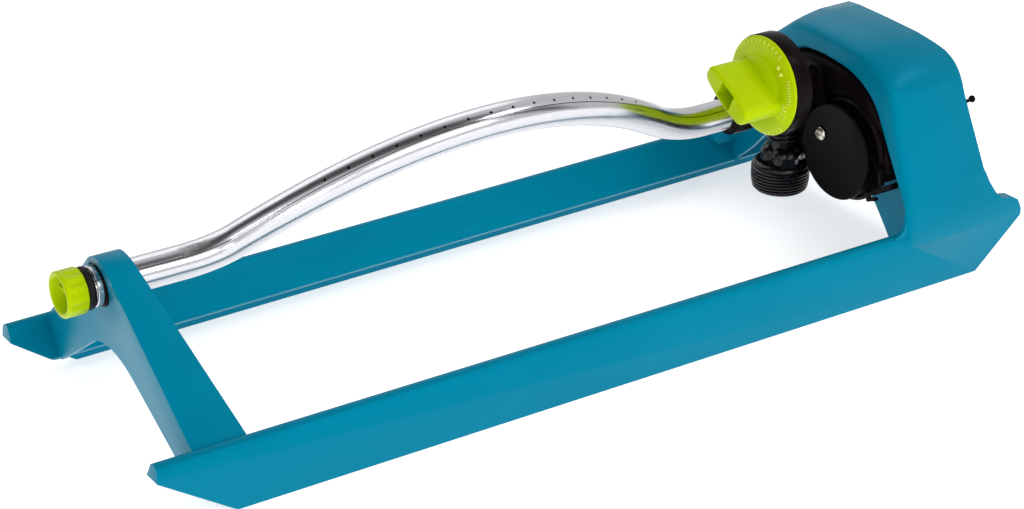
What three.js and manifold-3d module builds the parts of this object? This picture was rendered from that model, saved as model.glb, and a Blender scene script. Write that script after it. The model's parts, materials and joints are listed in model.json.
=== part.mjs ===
// Oscillating garden sprinkler: a moulded frame carries a bent spray tube that swings about its long axis,
// driven through a rocker and link by a water motor behind the hood opening. Millimetres, +X from the
// plugged end to the hood, +Z up, ground at Z = 0. Hollow cuts are made with manifold booleans.
import * as THREE from 'three';
import { mergeVertices } from 'three/addons/utils/BufferGeometryUtils.js';
import Module from 'manifold-3d';

const wasm = await Module();
wasm.setup();

// ---------------------------------------------------------------- driving sizes
const FIT = 0.3; // running or seating clearance between two pieces
const WALL = 2.4; // moulded wall of the frame

const FRONT_X = -216.3; // front tips of the rails
const TAIL_X = 219.6; // rear tips of the rails
const RAIL = { halfWidth: 73.5, spread: 0.012, height: 27.2, lean: 2.35, ledge: 7.35, foot: 15.6, footZ: 11 };
const halfWidth = (x) => RAIL.halfWidth + RAIL.spread * (x - FRONT_X);

const AXIS_Z = 70.5; // spray tube axis above the ground
const TUBE = { radius: 7.2, wall: 0.9, front: -206.4, rear: 132 };
const ARC = { from: -151.5, to: 77.7, crestX: -40.7, crest: 83.5, frontKnee: 0.081, rearKnee: 0.16, run: 15 };
const TILT = THREE.MathUtils.degToRad(33.7); // the tube rests leaning over the near rail
const JETS = { count: 16, pitch: 10.26, first: -108.1, radius: 0.65 };

const BRIDGE = { foot: -196.4, lean: 0.087, legZ: 27.8, rearFoot: -175.4, rearLean: 0.293 };
const BRIDGE_TOP = { y: -1.8, z: 69.8, radius: 13 };
const ARCH = { z: 10, radius: 32 };
const HOOD = { front: 151.2, depth: 12.5, bottom: 21.5, crown: 3, crownRun: 16, fillet: 6 };
const WALL_X = HOOD.front + HOOD.depth; // partition that closes the hood opening

const PLUG = { front: -219.5, rear: -210.4, rimR: 9.5, recessR: 7.3, recess: 5.6, stemEnd: -196 };
const BUSH = { radius: 8.9, boreR: 9.2, from: -203, to: -190.8 };

const DIAL = {
  y: -24.1, z: 92, radius: 22.5, face: 106.5, plate: 1.6,
  skirtR: 20.2, skirt: 4.6, hubR: 4, grip: 21.7,
};
const RIM = { radius: 22.9, wall: 2.1, back: 116.4, floor: 2.2, clampR: 9.8 };
const STUD = { y: -13, z: 86.5, radius: 2.4, end: 148.4 };

const CRANK = { y: -32.8, z: 54.4, discR: 22.2, discX: 143.4, discT: 1.6, hubR: 3 };
const CRANK_PIN = { y: -23, z: 60.2, headR: 3.3, shankR: 1.4 };
const DRIVE = { radius: 24.1, x: 151.6, rim: 1.8, recess: 1, thick: 2.2, shaftR: 2.4, shaft: 6.4 };
const LINK = { x: 145.6, thick: 2, half: 2.8, eyeR: 4.6, endR: 4.2 };

const MOTOR = { front: HOOD.front - 0.6, sleeveR: 11, sleeveFront: 124, floorZ: 41 };
const INLET = {
  x: 140.3, threadR: 13.6, rimZ: 27, flangeZ: 40.2, flange: 3.4,
  neckR: 6, domeZ: 49.8, bossZ: 57,
};
const CAP = { y: -47, z: 61, radius: 12, depth: 8 };

// ---------------------------------------------------------------- materials and meshes
const part = new THREE.Group();
part.name = 'garden_sprinkler';

const paint = (color, roughness, metalness = 0) => () =>
  new THREE.MeshStandardMaterial({ color, roughness, metalness });
const teal = paint(0x058aa6, 0.42);
const lime = paint(0xb7d400, 0.38);
const black = paint(0x1b191b, 0.5);
const rubber = paint(0x111111, 0.9);
const alu = paint(0xc9c9cc, 0.25, 1);
const steel = paint(0xb4b0a6, 0.3, 1);

function add(name, geometry, material, parent = part) {
  const mesh = new THREE.Mesh(geometry, material());
  mesh.name = name;
  parent.add(mesh);
  return mesh;
}

// ---------------------------------------------------------------- solid modelling helpers
// one welded, indexed body without its shading data or the flat triangles on a turning axis
function welded(geometry) {
  const bare = geometry.clone();
  bare.deleteAttribute('normal');
  bare.deleteAttribute('uv');
  const g = mergeVertices(bare, 1e-4);
  const kept = [];
  for (let i = 0; i < g.index.count; i += 3) {
    const [a, b, c] = [0, 1, 2].map((k) => g.index.getX(i + k));
    if (a !== b && b !== c && c !== a) kept.push(a, b, c);
  }
  g.setIndex(kept);
  return g;
}

function solid(geometry) {
  const g = welded(geometry);
  return new wasm.Manifold(new wasm.Mesh({
    numProp: 3,
    vertProperties: new Float32Array(g.attributes.position.array),
    triVerts: new Uint32Array(g.index.array),
  }));
}

const union = (...geometries) => geometries.map(solid).reduce((sum, next) => sum.add(next));
const cut = (body, ...geometries) => geometries.map(solid).reduce((rest, tool) => rest.subtract(tool), body);

function shaped(manifold) {
  const mesh = manifold.getMesh();
  const g = new THREE.BufferGeometry();
  g.setAttribute('position', new THREE.BufferAttribute(new Float32Array(mesh.vertProperties), 3));
  g.setIndex(new THREE.BufferAttribute(new Uint32Array(mesh.triVerts), 1));
  g.computeVertexNormals();
  return g;
}

const polygon = (points) => new THREE.Shape(points.map(([a, b]) => new THREE.Vector2(a, b)));
const box = (a0, a1, b0, b1) => polygon([[a0, b0], [a1, b0], [a1, b1], [a0, b1]]);

// a bar of a given half width between two points of a plane
function bar([a0, b0], [a1, b1], half) {
  const along = new THREE.Vector2(a1 - a0, b1 - b0).setLength(half);
  return polygon([
    [a0 - along.x + along.y, b0 - along.y - along.x], [a1 + along.x + along.y, b1 + along.y - along.x],
    [a1 + along.x - along.y, b1 + along.y + along.x], [a0 - along.x - along.y, b0 - along.y + along.x],
  ]);
}

// a Y-Z outline run along X
function alongX(shape, x0, x1, curveSegments = 12) {
  const g = new THREE.ExtrudeGeometry(shape, { depth: x1 - x0, bevelEnabled: false, curveSegments });
  g.applyMatrix4(new THREE.Matrix4().set(0, 0, 1, x0, 1, 0, 0, 0, 0, 1, 0, 0, 0, 0, 0, 1));
  return g;
}

// an X-Z outline run along Y
function alongY(shape, y0, y1, curveSegments = 12) {
  const g = new THREE.ExtrudeGeometry(shape, { depth: y1 - y0, bevelEnabled: false, curveSegments });
  g.applyMatrix4(new THREE.Matrix4().set(1, 0, 0, 0, 0, 0, -1, y1, 0, 1, 0, 0, 0, 0, 0, 1));
  return g;
}

// a [radius, x] profile turned about a line parallel to X through (y, z)
function turnedX(profile, y, z, segments = 32) {
  const g = new THREE.LatheGeometry(profile.map(([r, x]) => new THREE.Vector2(r, x)), segments);
  g.applyMatrix4(new THREE.Matrix4().set(0, 1, 0, 0, 1, 0, 0, y, 0, 0, -1, z, 0, 0, 0, 1));
  return g;
}

// a [radius, z] profile turned about a vertical line through (x, y)
function turnedZ(profile, x, y, segments = 32) {
  const g = new THREE.LatheGeometry(profile.map(([r, h]) => new THREE.Vector2(r, h)), segments);
  g.rotateX(Math.PI / 2);
  g.translate(x, y, 0);
  return g;
}

const ringX = (r0, r1, x0, x1, y, z, segments) =>
  turnedX([[r0, x0], [r1, x0], [r1, x1], [r0, x1], [r0, x0]], y, z, segments);
const diskX = (radius, x0, x1, y, z, segments) =>
  turnedX([[0, x0], [radius, x0], [radius, x1], [0, x1]], y, z, segments);
const diskZ = (radius, z0, z1, x, y, segments) =>
  turnedZ([[0, z0], [radius, z0], [radius, z1], [0, z1]], x, y, segments);

// skin over equal rings of [x, y, z] points set one after another along +X, each ring anticlockwise from +X
function lofted(rings) {
  const n = rings[0].length;
  const faces = [];
  for (let i = 0; i + 1 < rings.length; i++) {
    for (let j = 0; j < n; j++) {
      const [a, b] = [i * n + j, i * n + ((j + 1) % n)];
      faces.push(a, b, b + n, a, b + n, a + n);
    }
  }
  const flat = rings[0].map(([, y, z]) => new THREE.Vector2(y, z));
  const last = (rings.length - 1) * n;
  for (const [a, b, c] of THREE.ShapeUtils.triangulateShape(flat, [])) {
    faces.push(c, b, a, last + a, last + b, last + c);
  }
  const g = new THREE.BufferGeometry();
  g.setAttribute('position', new THREE.Float32BufferAttribute(rings.flat(2), 3));
  g.setAttribute('normal', new THREE.Float32BufferAttribute(new Float32Array(rings.length * n * 3), 3));
  g.setIndex(faces);
  return g;
}

// a closed anticlockwise outline moved inward by d
function inset(points, d) {
  return points.map(([y, z], i) => {
    const [py, pz] = points[(i + points.length - 1) % points.length];
    const [ny, nz] = points[(i + 1) % points.length];
    const before = new THREE.Vector2(y - py, z - pz).normalize();
    const after = new THREE.Vector2(ny - y, nz - z).normalize();
    const normal = new THREE.Vector2(-before.y - after.y, before.x + after.x).normalize();
    const reach = d / Math.max(0.5, Math.abs(normal.x * -before.y + normal.y * before.x));
    return [y + normal.x * reach, z + normal.y * reach];
  });
}

const ringAt = (outline, x, d) => inset(outline, d).map(([y, z]) => [x, y, z]);

// an arc from one angle to another, in degrees anticlockwise from +Y
function arc(y, z, radius, from, to, steps) {
  return Array.from({ length: steps + 1 }, (_, i) => {
    const angle = THREE.MathUtils.degToRad(THREE.MathUtils.lerp(from, to, i / steps));
    return [y + radius * Math.cos(angle), z + radius * Math.sin(angle)];
  });
}

// an outline that rises from a foot on the far side, rolls over a circle and comes down to the near foot
function over(foot, y, z, radius, steps) {
  const half = (side) => {
    const [footY, footZ] = foot.at(-1);
    const [run, rise] = [footY - side * y, footZ - z];
    const start = Math.atan2(rise, run) + Math.acos(radius / Math.hypot(run, rise));
    const round = arc(0, z, radius, THREE.MathUtils.radToDeg(start), 90, steps);
    return [...foot.map(([a, b]) => [side * a, b]), ...round.map(([a, b]) => [y + side * a, b])];
  };
  return [...half(1), ...half(-1).reverse().slice(1)];
}

// ---------------------------------------------------------------- frame: rails
function rail(side) {
  const h = RAIL.halfWidth;
  const top = RAIL.height;
  const outline = [
    [h, 0], [h - 0.9 * RAIL.lean, top - 2.8], [h - 1.3 * RAIL.lean, top - 0.8], [h - 4.6, top],
    [h - RAIL.ledge + 0.7, top], [h - RAIL.ledge - 0.2, top - 0.5], [h - RAIL.foot, RAIL.footZ],
    [h - RAIL.foot + 0.9, RAIL.footZ - 1.3], [h - WALL - 0.5, 0],
  ];
  const channel = [
    [h - WALL, -3], [h - RAIL.lean - 2, top - WALL], [h - RAIL.ledge + 1.3, top - WALL],
    [h - RAIL.foot - 4.8, -3],
  ];
  const shear = new THREE.Matrix4().set(
    1, 0, 0, 0, side * RAIL.spread, 1, 0, -side * RAIL.spread * FRONT_X, 0, 0, 1, 0, 0, 0, 0, 1);
  const run = (points, x0, x1) =>
    alongX(polygon(points.map(([y, z]) => [side * y, z])), x0, x1).applyMatrix4(shear);
  const profile = polygon([
    [FRONT_X + 31.8, 0], [TAIL_X - 27.2, 0], [TAIL_X, 20.8], [TAIL_X - 1.2, 25.2], [TAIL_X - 3.6, 30],
    [TAIL_X - 8, RAIL.height + 5], [FRONT_X + 0.7, RAIL.height + 5], [FRONT_X, 20.6],
  ]);
  return cut(solid(run(outline, FRONT_X, TAIL_X)), run(channel, FRONT_X + WALL, TAIL_X - WALL))
    .intersect(solid(alongY(profile, -90, 90)));
}

// ---------------------------------------------------------------- frame: front bridge
const bridgeX = (z, rear = false) =>
  rear ? BRIDGE.rearFoot - BRIDGE.rearLean * Math.max(0, z - RAIL.height) : BRIDGE.foot - BRIDGE.lean * z;

function bridge() {
  const leg = halfWidth(BRIDGE.foot) - 9;
  const inside = leg - 3.1;
  const outer = over(
    [[leg - 6.7, 10.4], [leg + 1.9, RAIL.height - 1], [leg, BRIDGE.legZ]],
    BRIDGE_TOP.y, BRIDGE_TOP.z, BRIDGE_TOP.radius, 10);
  const inner = over(
    [[inside, -4], [inside, RAIL.height]], BRIDGE_TOP.y, BRIDGE_TOP.z, BRIDGE_TOP.radius - WALL, 10);
  const arch = over([[leg - 7.7, -20], [leg - 7.7, ARCH.z]], 0, ARCH.z, ARCH.radius, 10);
  const [x0, x1, top] = [FRONT_X + 4, BRIDGE.rearFoot + 15, 90];
  const side = polygon([
    [bridgeX(-5), -5], [bridgeX(0, true), -5], [bridgeX(RAIL.height, true), RAIL.height],
    [bridgeX(top, true), top], [bridgeX(top), top],
  ]);
  const hollowSide = polygon([
    [bridgeX(-5) + WALL, -5], [x1 + 10, -5], [x1 + 10, top], [bridgeX(top) + WALL, top],
  ]);
  const block = solid(alongX(polygon(outer), x0, x1)).intersect(solid(alongY(side, -90, 90)));
  const hollow = solid(alongX(polygon(inner), x0, x1)).intersect(solid(alongY(hollowSide, -90, 90)));
  const boss = solid(diskX(BUSH.boreR + WALL + 0.6, BUSH.from + 2, BUSH.to - FIT, 0, AXIS_Z, 36)).intersect(block);
  return cut(
    block.subtract(hollow).add(boss), alongX(polygon(arch), x0 - 2, x1 + 10),
    diskX(BUSH.boreR, x0 - 2, x1, 0, AXIS_Z, 40));
}

// ---------------------------------------------------------------- frame: hood
// outlines run from the foot on the far side over the roof to the foot on the near side; the near wall is
// tall and nearly flat, the far wall is an arc that flares out again where it meets its rail
const HALF = halfWidth(HOOD.front);
const FAR = { y: -6.8, z: 34.4, wallR: 65.5, mouthR: 56.6 };

const shoulder = (from, control, to, steps) => new THREE.QuadraticBezierCurve(
  new THREE.Vector2(...from), new THREE.Vector2(...control), new THREE.Vector2(...to),
).getPoints(steps).map((p) => [p.x, p.y]);

const hoodOutline = [
  [HALF - 1.6, HOOD.bottom], [HALF - 1.6, 30.2], [HALF - 6.4, 32.6], [HALF - 12.4, 36.2], [HALF - 16.9, 41.4],
  ...arc(FAR.y, FAR.z, FAR.wallR, 12.5, 62, 9), [13, 100.4], [9, 102.6], [0, 103.9], [-20, 103.2],
  ...shoulder([-36, 101.8], [-57, 96.5], [17.3 - HALF, 86.5], 8),
  [12.5 - HALF, 70.3], [4 - HALF, 44.8], [1.9 - HALF, 33], [1.6 - HALF, HOOD.bottom],
];
const openingOutline = [
  [HALF - 15.4, -3], [HALF - 15.4, RAIL.height], [HALF - 21.6, 35], ...arc(FAR.y, FAR.z, FAR.mouthR, 14, 72, 8),
  [0, 92.2], [-12, 92.9],
  ...shoulder([-25.7, 91.7], [-42.5, 89], [27.6 - HALF, 77.5], 8),
  [6 - HALF, 38.9], [7.4 - HALF, RAIL.height], [7.4 - HALF, -3],
];

// the roof is crowned a little behind its front edge and the side walls follow the spreading rails
function hoodRing(x, d) {
  const crown = HOOD.crown * THREE.MathUtils.smoothstep(x, HOOD.front, HOOD.front + HOOD.crownRun);
  return inset(hoodOutline, d).map(([y, z]) => [
    x, y * (1 + (RAIL.spread * (x - HOOD.front)) / HALF), z + crown * THREE.MathUtils.smoothstep(z, 84, 103),
  ]);
}

// upper part of the back wall, then how it sweeps into the tails over both rails
const backWall = [
  [TAIL_X - 50, 112], [TAIL_X - 37.4, 107.6], [185.6, 104.4], [188.3, 101.6], [190.3, 99.2], [191.3, 96.1],
  [191.6, 92.8], [191.8, 88], [192.4, 81.4], [193.6, 74.5], [194.7, 67.7], [196, 58.7], [197.5, 48.4],
];
const tails = [
  [200.3, 41.4], [203.6, 36], [207.6, 33.4], [213.5, 32.9], [TAIL_X - 2.2, 30.6], [TAIL_X - 0.7, 27.6],
  [TAIL_X, 24], [TAIL_X, -2],
];
const hem = [[198, 47], [199.3, 40], [200.6, -8]];

function hood() {
  const front = HOOD.front;
  const side = polygon([[front - 10, -2], [front - 10, 112], ...backWall, ...tails]);
  const between = polygon([[196.6, 56], ...hem, [TAIL_X + 2, -8], [TAIL_X + 2, 56]]);
  const tailGap = HALF - 14;
  // inside the outer ridge of each tail the top comes down to the ledge of the rail
  const insideRidge = polygon([
    [199.6, 44.6], [202.4, 35.4], [204.6, 30.6], [208, 28], [212, 27], [TAIL_X + 2, 27], [TAIL_X + 2, 60], [199.6, 60],
  ]);
  const outer = cut(
    solid(lofted([
      hoodRing(front, 3.4), hoodRing(front + 0.5, 1.8), hoodRing(front + 1.7, 0.6), hoodRing(front + 3.6, 0),
      hoodRing(front + 9, 0), hoodRing(front + HOOD.crownRun, 0), hoodRing(TAIL_X + 1, 0),
    ])).intersect(solid(alongY(side, -95, 95))),
    alongY(between, -tailGap, tailGap), alongY(insideRidge, 6.5 - HALF, HALF - 6.5));

  const low = ([x, y, z]) => [x, y, z < 30 ? z - 30 : z];
  const hollowSide = polygon([
    [front + 1.8, -6], [front + 1.8, 109],
    ...[...backWall, ...hem].map(([x, z]) => [x - WALL, z > 50 ? z - WALL : z]),
  ]);
  const hollow = solid(lofted([
    hoodRing(front + 3.4, WALL).map(low), hoodRing(front + 9, WALL).map(low),
    hoodRing(front + HOOD.crownRun, WALL).map(low), hoodRing(TAIL_X + 1, WALL).map(low),
  ])).intersect(solid(alongY(hollowSide, -95, 95)));

  const pan = outer.intersect(solid(lofted([
    ringAt(openingOutline, front + 0.4, -WALL), ringAt(openingOutline, WALL_X + 0.1, -WALL),
  ])));
  const partition = alongX(polygon([
    [HALF - 15.6, 10.4], [HALF - 4.3, 25.6], ...inset(openingOutline, 0.2 - WALL).filter(([, z]) => z > 30),
    [4.3 - HALF, 25.6], [15.6 - HALF, 10.4],
  ]), WALL_X, WALL_X + WALL);
  const mouth = lofted([
    ringAt(openingOutline, front - 1, -2.4), ringAt(openingOutline, front + 0.6, -0.8),
    ringAt(openingOutline, front + 2, 0), ringAt(openingOutline, WALL_X, 0),
  ]);
  const arch = alongX(polygon([
    [HALF - 16.4, -20], [HALF - 16.4, 12.2], [54.5, 17.9], [49.4, 22.5], [43.7, 28.7], [40.5, 32.1],
    [34.6, 36.6], [26, 39.6], [10, 40.6], [-8, 40.6], [-21, 39.6], [-31.5, 35.6], [-39.3, 27.6],
    [-43.9, 22.3], [-49.4, 15.4], [-54.5, 9], [-54.5, -20],
  ]), WALL_X - 1, WALL_X + WALL + 1);

  // hollow fillet where the front edge of the hood runs out on the ledge of the dial side rail
  const [cornerX, cornerZ, r] = [front - HOOD.fillet, RAIL.height + HOOD.fillet, HOOD.fillet];
  const fillet = solid(alongY(polygon([
    [front + 1, cornerZ - r - 1], [front + 1, cornerZ], ...arc(cornerX, cornerZ, r, 0, -90, 6).slice(0, -1),
    [cornerX, cornerZ - r - 0.2], [cornerX, cornerZ - r - 1],
  ]), -90, 0)).intersect(solid(alongX(polygon(inset(hoodOutline, 1.6)), cornerX - 1, front + 2)));
  const openFront = alongX(polygon(inset(openingOutline, -2)), cornerX - 3, front + 2);
  return cut(outer.subtract(hollow).add(pan).add(solid(partition)), mouth, arch).add(cut(fillet, openFront));
}

const caseScrews = [[-43, 63], [36, 60], [-26, 83], [16, 78]];
const screwHoles = caseScrews.map(([y, z]) => diskX(1.8, WALL_X - 1, WALL_X + WALL + 1, y, z, 14));

const frame = cut(hood().add(rail(1)).add(rail(-1)).add(bridge()), ...screwHoles);
add('base_frame', shaped(frame), teal);

// ---------------------------------------------------------------- spray tube, bent in one plane
// straight ends, a long arch between them and a short bend where they join
function tubePath() {
  const at = (x, h) => new THREE.Vector2(x, h);
  const [start, crest, end] = [at(ARC.from, 0), at(ARC.crestX, ARC.crest), at(ARC.to, 0)];
  const [a, b] = [start.clone().lerp(crest, ARC.frontKnee), end.clone().lerp(crest, ARC.rearKnee)];
  return [
    at(TUBE.front, 0),
    ...new THREE.QuadraticBezierCurve(at(ARC.from - ARC.run, 0), start, a).getPoints(5),
    ...new THREE.QuadraticBezierCurve(a, crest, b).getPoints(18).slice(1),
    ...new THREE.QuadraticBezierCurve(b, end, at(ARC.to + ARC.run, 0)).getPoints(5).slice(1),
    at(TUBE.rear, 0),
  ];
}

const centreline = tubePath();

function sweptRound(points, radius, segments) {
  const rings = points.map((p, i) => {
    const ahead = points[Math.min(i + 1, points.length - 1)];
    const behind = points[Math.max(i - 1, 0)];
    const t = ahead.clone().sub(behind).normalize();
    return Array.from({ length: segments }, (_, k) => {
      const angle = (2 * Math.PI * k) / segments;
      const up = radius * Math.sin(angle);
      return [p.x - t.y * up, radius * Math.cos(angle), p.y + t.x * up];
    });
  });
  return lofted(rings);
}

// the point and lean of the arch at a distance along its centreline past the first jet
function alongArch(distance) {
  let left = distance;
  for (let i = 1; i < centreline.length; i++) {
    const [from, to] = [centreline[i - 1], centreline[i]];
    if (to.x <= JETS.first) continue;
    const skip = Math.max(0, (JETS.first - from.x) / (to.x - from.x));
    const start = from.clone().lerp(to, skip);
    const length = start.distanceTo(to);
    if (left <= length) {
      return { at: start.lerp(to, left / length), lean: Math.atan2(to.y - from.y, to.x - from.x) };
    }
    left -= length;
  }
  return null;
}

function jet(index) {
  const { at, lean } = alongArch(index * JETS.pitch);
  const drill = new THREE.CylinderGeometry(JETS.radius, JETS.radius, 5, 6);
  drill.rotateX(Math.PI / 2);
  drill.translate(0, 0, TUBE.radius);
  drill.rotateY(-lean);
  drill.translate(at.x, 0, at.y);
  return drill;
}

const tubeEnds = [new THREE.Vector2(TUBE.front - 1, 0), new THREE.Vector2(TUBE.rear + 1, 0)];
const bore = sweptRound([tubeEnds[0], ...centreline.slice(1, -1), tubeEnds[1]], TUBE.radius - TUBE.wall, 12);
const jets = Array.from({ length: JETS.count }, (_, i) => jet(i));
const tube = shaped(cut(solid(sweptRound(centreline, TUBE.radius, 20)), bore, ...jets));
tube.rotateX(TILT);
tube.translate(0, 0, AXIS_Z);
add('spray_tube', tube, alu);

// ---------------------------------------------------------------- plugged front end
add('front_bush', ringX(TUBE.radius + FIT, BUSH.radius, BUSH.from, BUSH.to, 0, AXIS_Z), black);

function scallopedDisk(radius, dip, count) {
  return Array.from({ length: count * 4 }, (_, i) => {
    const angle = (2 * Math.PI * i) / (count * 4);
    const r = radius - dip * Math.abs(Math.sin((angle * count) / 2)) ** 3;
    return [r * Math.cos(angle), AXIS_Z + r * Math.sin(angle)];
  });
}

const plugHead = union(
  alongX(polygon(scallopedDisk(PLUG.rimR, 0.7, 12)), PLUG.front, PLUG.rear),
  diskX(TUBE.radius - TUBE.wall - FIT, PLUG.rear - 0.5, PLUG.stemEnd, 0, AXIS_Z, 28));
const plugRecess = turnedX([
  [0, PLUG.front - 1], [PLUG.recessR + 0.6, PLUG.front - 1], [PLUG.recessR, PLUG.front + 0.8],
  [PLUG.recessR - 0.4, PLUG.front + PLUG.recess], [0, PLUG.front + PLUG.recess],
], 0, AXIS_Z, 36);
const coinBar = alongX(
  box(0.4 - PLUG.recessR, PLUG.recessR - 0.4, AXIS_Z - 0.9, AXIS_Z + 0.9), PLUG.front + 2.6, PLUG.rear - 2);
add('end_plug', shaped(cut(plugHead, plugRecess).add(solid(coinBar))), lime);
add('plug_seal', turnedX([
  [TUBE.radius - TUBE.wall, PLUG.rear + FIT], [8, PLUG.rear + FIT], [8.6, PLUG.rear + 0.9],
  [8.6, TUBE.front - 0.9], [8, TUBE.front - FIT], [TUBE.radius - TUBE.wall, TUBE.front - FIT],
  [TUBE.radius - TUBE.wall, PLUG.rear + FIT],
], 0, AXIS_Z, 32), rubber);

// ---------------------------------------------------------------- rocker clamped to the tube
const rimFront = DIAL.face + DIAL.plate + FIT;
const web = alongX(bar([0, AXIS_Z], [DIAL.y / 2, (AXIS_Z + DIAL.z) / 2], 7.5), RIM.back - 4.4, RIM.back);
const rocker = cut(
  union(
    diskX(RIM.radius, rimFront, RIM.back, DIAL.y, DIAL.z, 48),
    diskX(RIM.clampR, DIAL.face, RIM.back, 0, AXIS_Z, 36), web),
  diskX(RIM.radius - RIM.wall, rimFront - 1, RIM.back - RIM.floor, DIAL.y, DIAL.z, 48),
  diskX(DIAL.hubR + FIT, rimFront, RIM.back + 1, DIAL.y, DIAL.z, 24))
  .add(solid(diskX(STUD.radius, RIM.back - 1, STUD.end, STUD.y, STUD.z, 20)));
const tubeHole = diskX(TUBE.radius + FIT, DIAL.face - 1, RIM.back + 1, 0, AXIS_Z, 32);
add('rocker_arm', shaped(cut(rocker, tubeHole)), black);

// ---------------------------------------------------------------- range dial on the rocker
const gripAngle = Math.atan2(-14.5, -23.9);
const gripFront = DIAL.face - DIAL.grip;
const gripShape = new THREE.Shape();
gripShape.moveTo(-12.5, -4.2);
gripShape.quadraticCurveTo(0, -6.6, 12.5, -4.8);
gripShape.quadraticCurveTo(15.6, -4, 15.6, -0.6);
gripShape.quadraticCurveTo(15.4, 4, 11.5, 4.8);
gripShape.quadraticCurveTo(0, 6.8, -11.5, 4.8);
gripShape.quadraticCurveTo(-15.4, 4, -15.4, 0);
gripShape.quadraticCurveTo(-15.4, -3.6, -12.5, -4.2);
const placed = (shape, x0, x1, segments) => {
  const g = alongX(shape, x0, x1, segments);
  g.rotateX(gripAngle);
  g.translate(0, DIAL.y - 1.6, DIAL.z + 0.7);
  return g;
};
const dialBody = union(
  turnedX([
    [0, DIAL.face], [DIAL.radius - 4.6, DIAL.face], [DIAL.radius - 4, DIAL.face + 0.5],
    [DIAL.radius - 0.6, DIAL.face + 0.5], [DIAL.radius, DIAL.face + 0.9],
    [DIAL.radius, DIAL.face + DIAL.plate], [DIAL.skirtR, DIAL.face + DIAL.plate],
    [DIAL.skirtR, DIAL.face + DIAL.skirt], [DIAL.hubR, DIAL.face + DIAL.skirt], [DIAL.hubR, RIM.back + FIT],
    [DIAL.hubR + 1.4, RIM.back + FIT], [DIAL.hubR + 0.6, RIM.back + 1.6], [0, RIM.back + 1.6],
  ], DIAL.y, DIAL.z, 40),
  placed(gripShape, gripFront, DIAL.face + 1, 5));
const pocket = placed(polygon([[-3.2, -4.2], [4.8, -4], [5, 3.4], [-2.4, 7]]), gripFront - 1, gripFront + 7, 1);
const tickCount = 30;
const tickRing = Array.from({ length: tickCount }, (_, i) => {
  const outline = box(DIAL.radius - 3.3, DIAL.radius - 1.1, -0.18, 0.18);
  const tick = alongX(outline, DIAL.face + 0.2, DIAL.face + 1);
  tick.rotateX((2 * Math.PI * i) / tickCount);
  tick.translate(0, DIAL.y, DIAL.z);
  return solid(tick);
});
add('range_dial', shaped(tickRing.reduce((sum, tick) => sum.add(tick), cut(dialBody, pocket))), lime);

// ---------------------------------------------------------------- link from the rocker stud to the crank
const linkBack = LINK.x + LINK.thick;
const link = union(
  alongX(bar([STUD.y, STUD.z], [CRANK_PIN.y, CRANK_PIN.z], LINK.half), LINK.x, linkBack),
  diskX(LINK.eyeR, LINK.x, linkBack, STUD.y, STUD.z, 28),
  diskX(LINK.endR, LINK.x, linkBack, CRANK_PIN.y, CRANK_PIN.z, 28),
  diskX(LINK.endR - 1.6, LINK.x + 0.5, MOTOR.front - FIT, CRANK_PIN.y, CRANK_PIN.z, 20));
const linkEye = diskX(STUD.radius + FIT, LINK.x - 1, linkBack + 1, STUD.y, STUD.z, 24);
add('link_rod', shaped(cut(link, linkEye)), black);

// ---------------------------------------------------------------- crank: front disc, rear disc and screw
const discBack = CRANK.discX + CRANK.discT;
const driveFloor = DRIVE.x + DRIVE.recess;
const driveBack = DRIVE.x + DRIVE.thick;
const crankFront = union(
  diskX(CRANK.discR, CRANK.discX, discBack, CRANK.y, CRANK.z, 44),
  diskX(CRANK.hubR, CRANK.discX + 0.5, driveFloor - FIT, CRANK.y, CRANK.z, 24));
const pinHole = diskX(CRANK_PIN.shankR + FIT, CRANK.discX - 1, discBack + 1, CRANK_PIN.y, CRANK_PIN.z, 16);
add('crank_disc', shaped(cut(crankFront, pinHole)), black);
add('drive_disc', turnedX([
  [0, driveFloor], [DRIVE.radius - DRIVE.rim, driveFloor], [DRIVE.radius - DRIVE.rim, DRIVE.x],
  [DRIVE.radius, DRIVE.x], [DRIVE.radius, driveBack], [DRIVE.shaftR, driveBack],
  [DRIVE.shaftR, DRIVE.x + DRIVE.shaft], [0, DRIVE.x + DRIVE.shaft],
], CRANK.y, CRANK.z, 44), black);

const screwHead = turnedX([
  [0, CRANK.discX - 1.7], [1.6, CRANK.discX - 1.7], [CRANK_PIN.headR - 0.5, CRANK.discX - 1.2],
  [CRANK_PIN.headR, CRANK.discX - FIT], [CRANK_PIN.shankR, CRANK.discX - FIT],
  [CRANK_PIN.shankR, discBack], [0, discBack],
], CRANK_PIN.y, CRANK_PIN.z, 24);
const crossSlot = (wide, high) => alongX(
  box(CRANK_PIN.y - wide, CRANK_PIN.y + wide, CRANK_PIN.z - high, CRANK_PIN.z + high),
  CRANK.discX - 3, CRANK.discX - 0.9);
add('crank_screw', shaped(cut(solid(screwHead), crossSlot(1.8, 0.4), crossSlot(0.4, 1.8))), steel);

// ---------------------------------------------------------------- motor housing in the hood opening
const caseBack = WALL_X - FIT;
const caseOutline = [
  [38, MOTOR.floorZ], [45, MOTOR.floorZ + 3.5],
  ...inset(openingOutline, 1).filter(([y, z]) => z > (y > 0 ? 46 : 70)),
  [-60, 57], [-59.3, 52.2], [-47, MOTOR.floorZ + 2], [-38, MOTOR.floorZ],
];
const caseBody = union(
  lofted([
    ringAt(caseOutline, MOTOR.front, 3.4), ringAt(caseOutline, MOTOR.front + 0.6, 1.8),
    ringAt(caseOutline, MOTOR.front + 1.8, 0.5), ringAt(caseOutline, MOTOR.front + 3.4, 0),
    ringAt(caseOutline, caseBack, 0),
  ]),
  diskX(MOTOR.sleeveR, MOTOR.sleeveFront, MOTOR.front + 2, 0, AXIS_Z, 40),
  diskZ(INLET.neckR + 2, INLET.bossZ, AXIS_Z, INLET.x, 0, 28));
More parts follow.
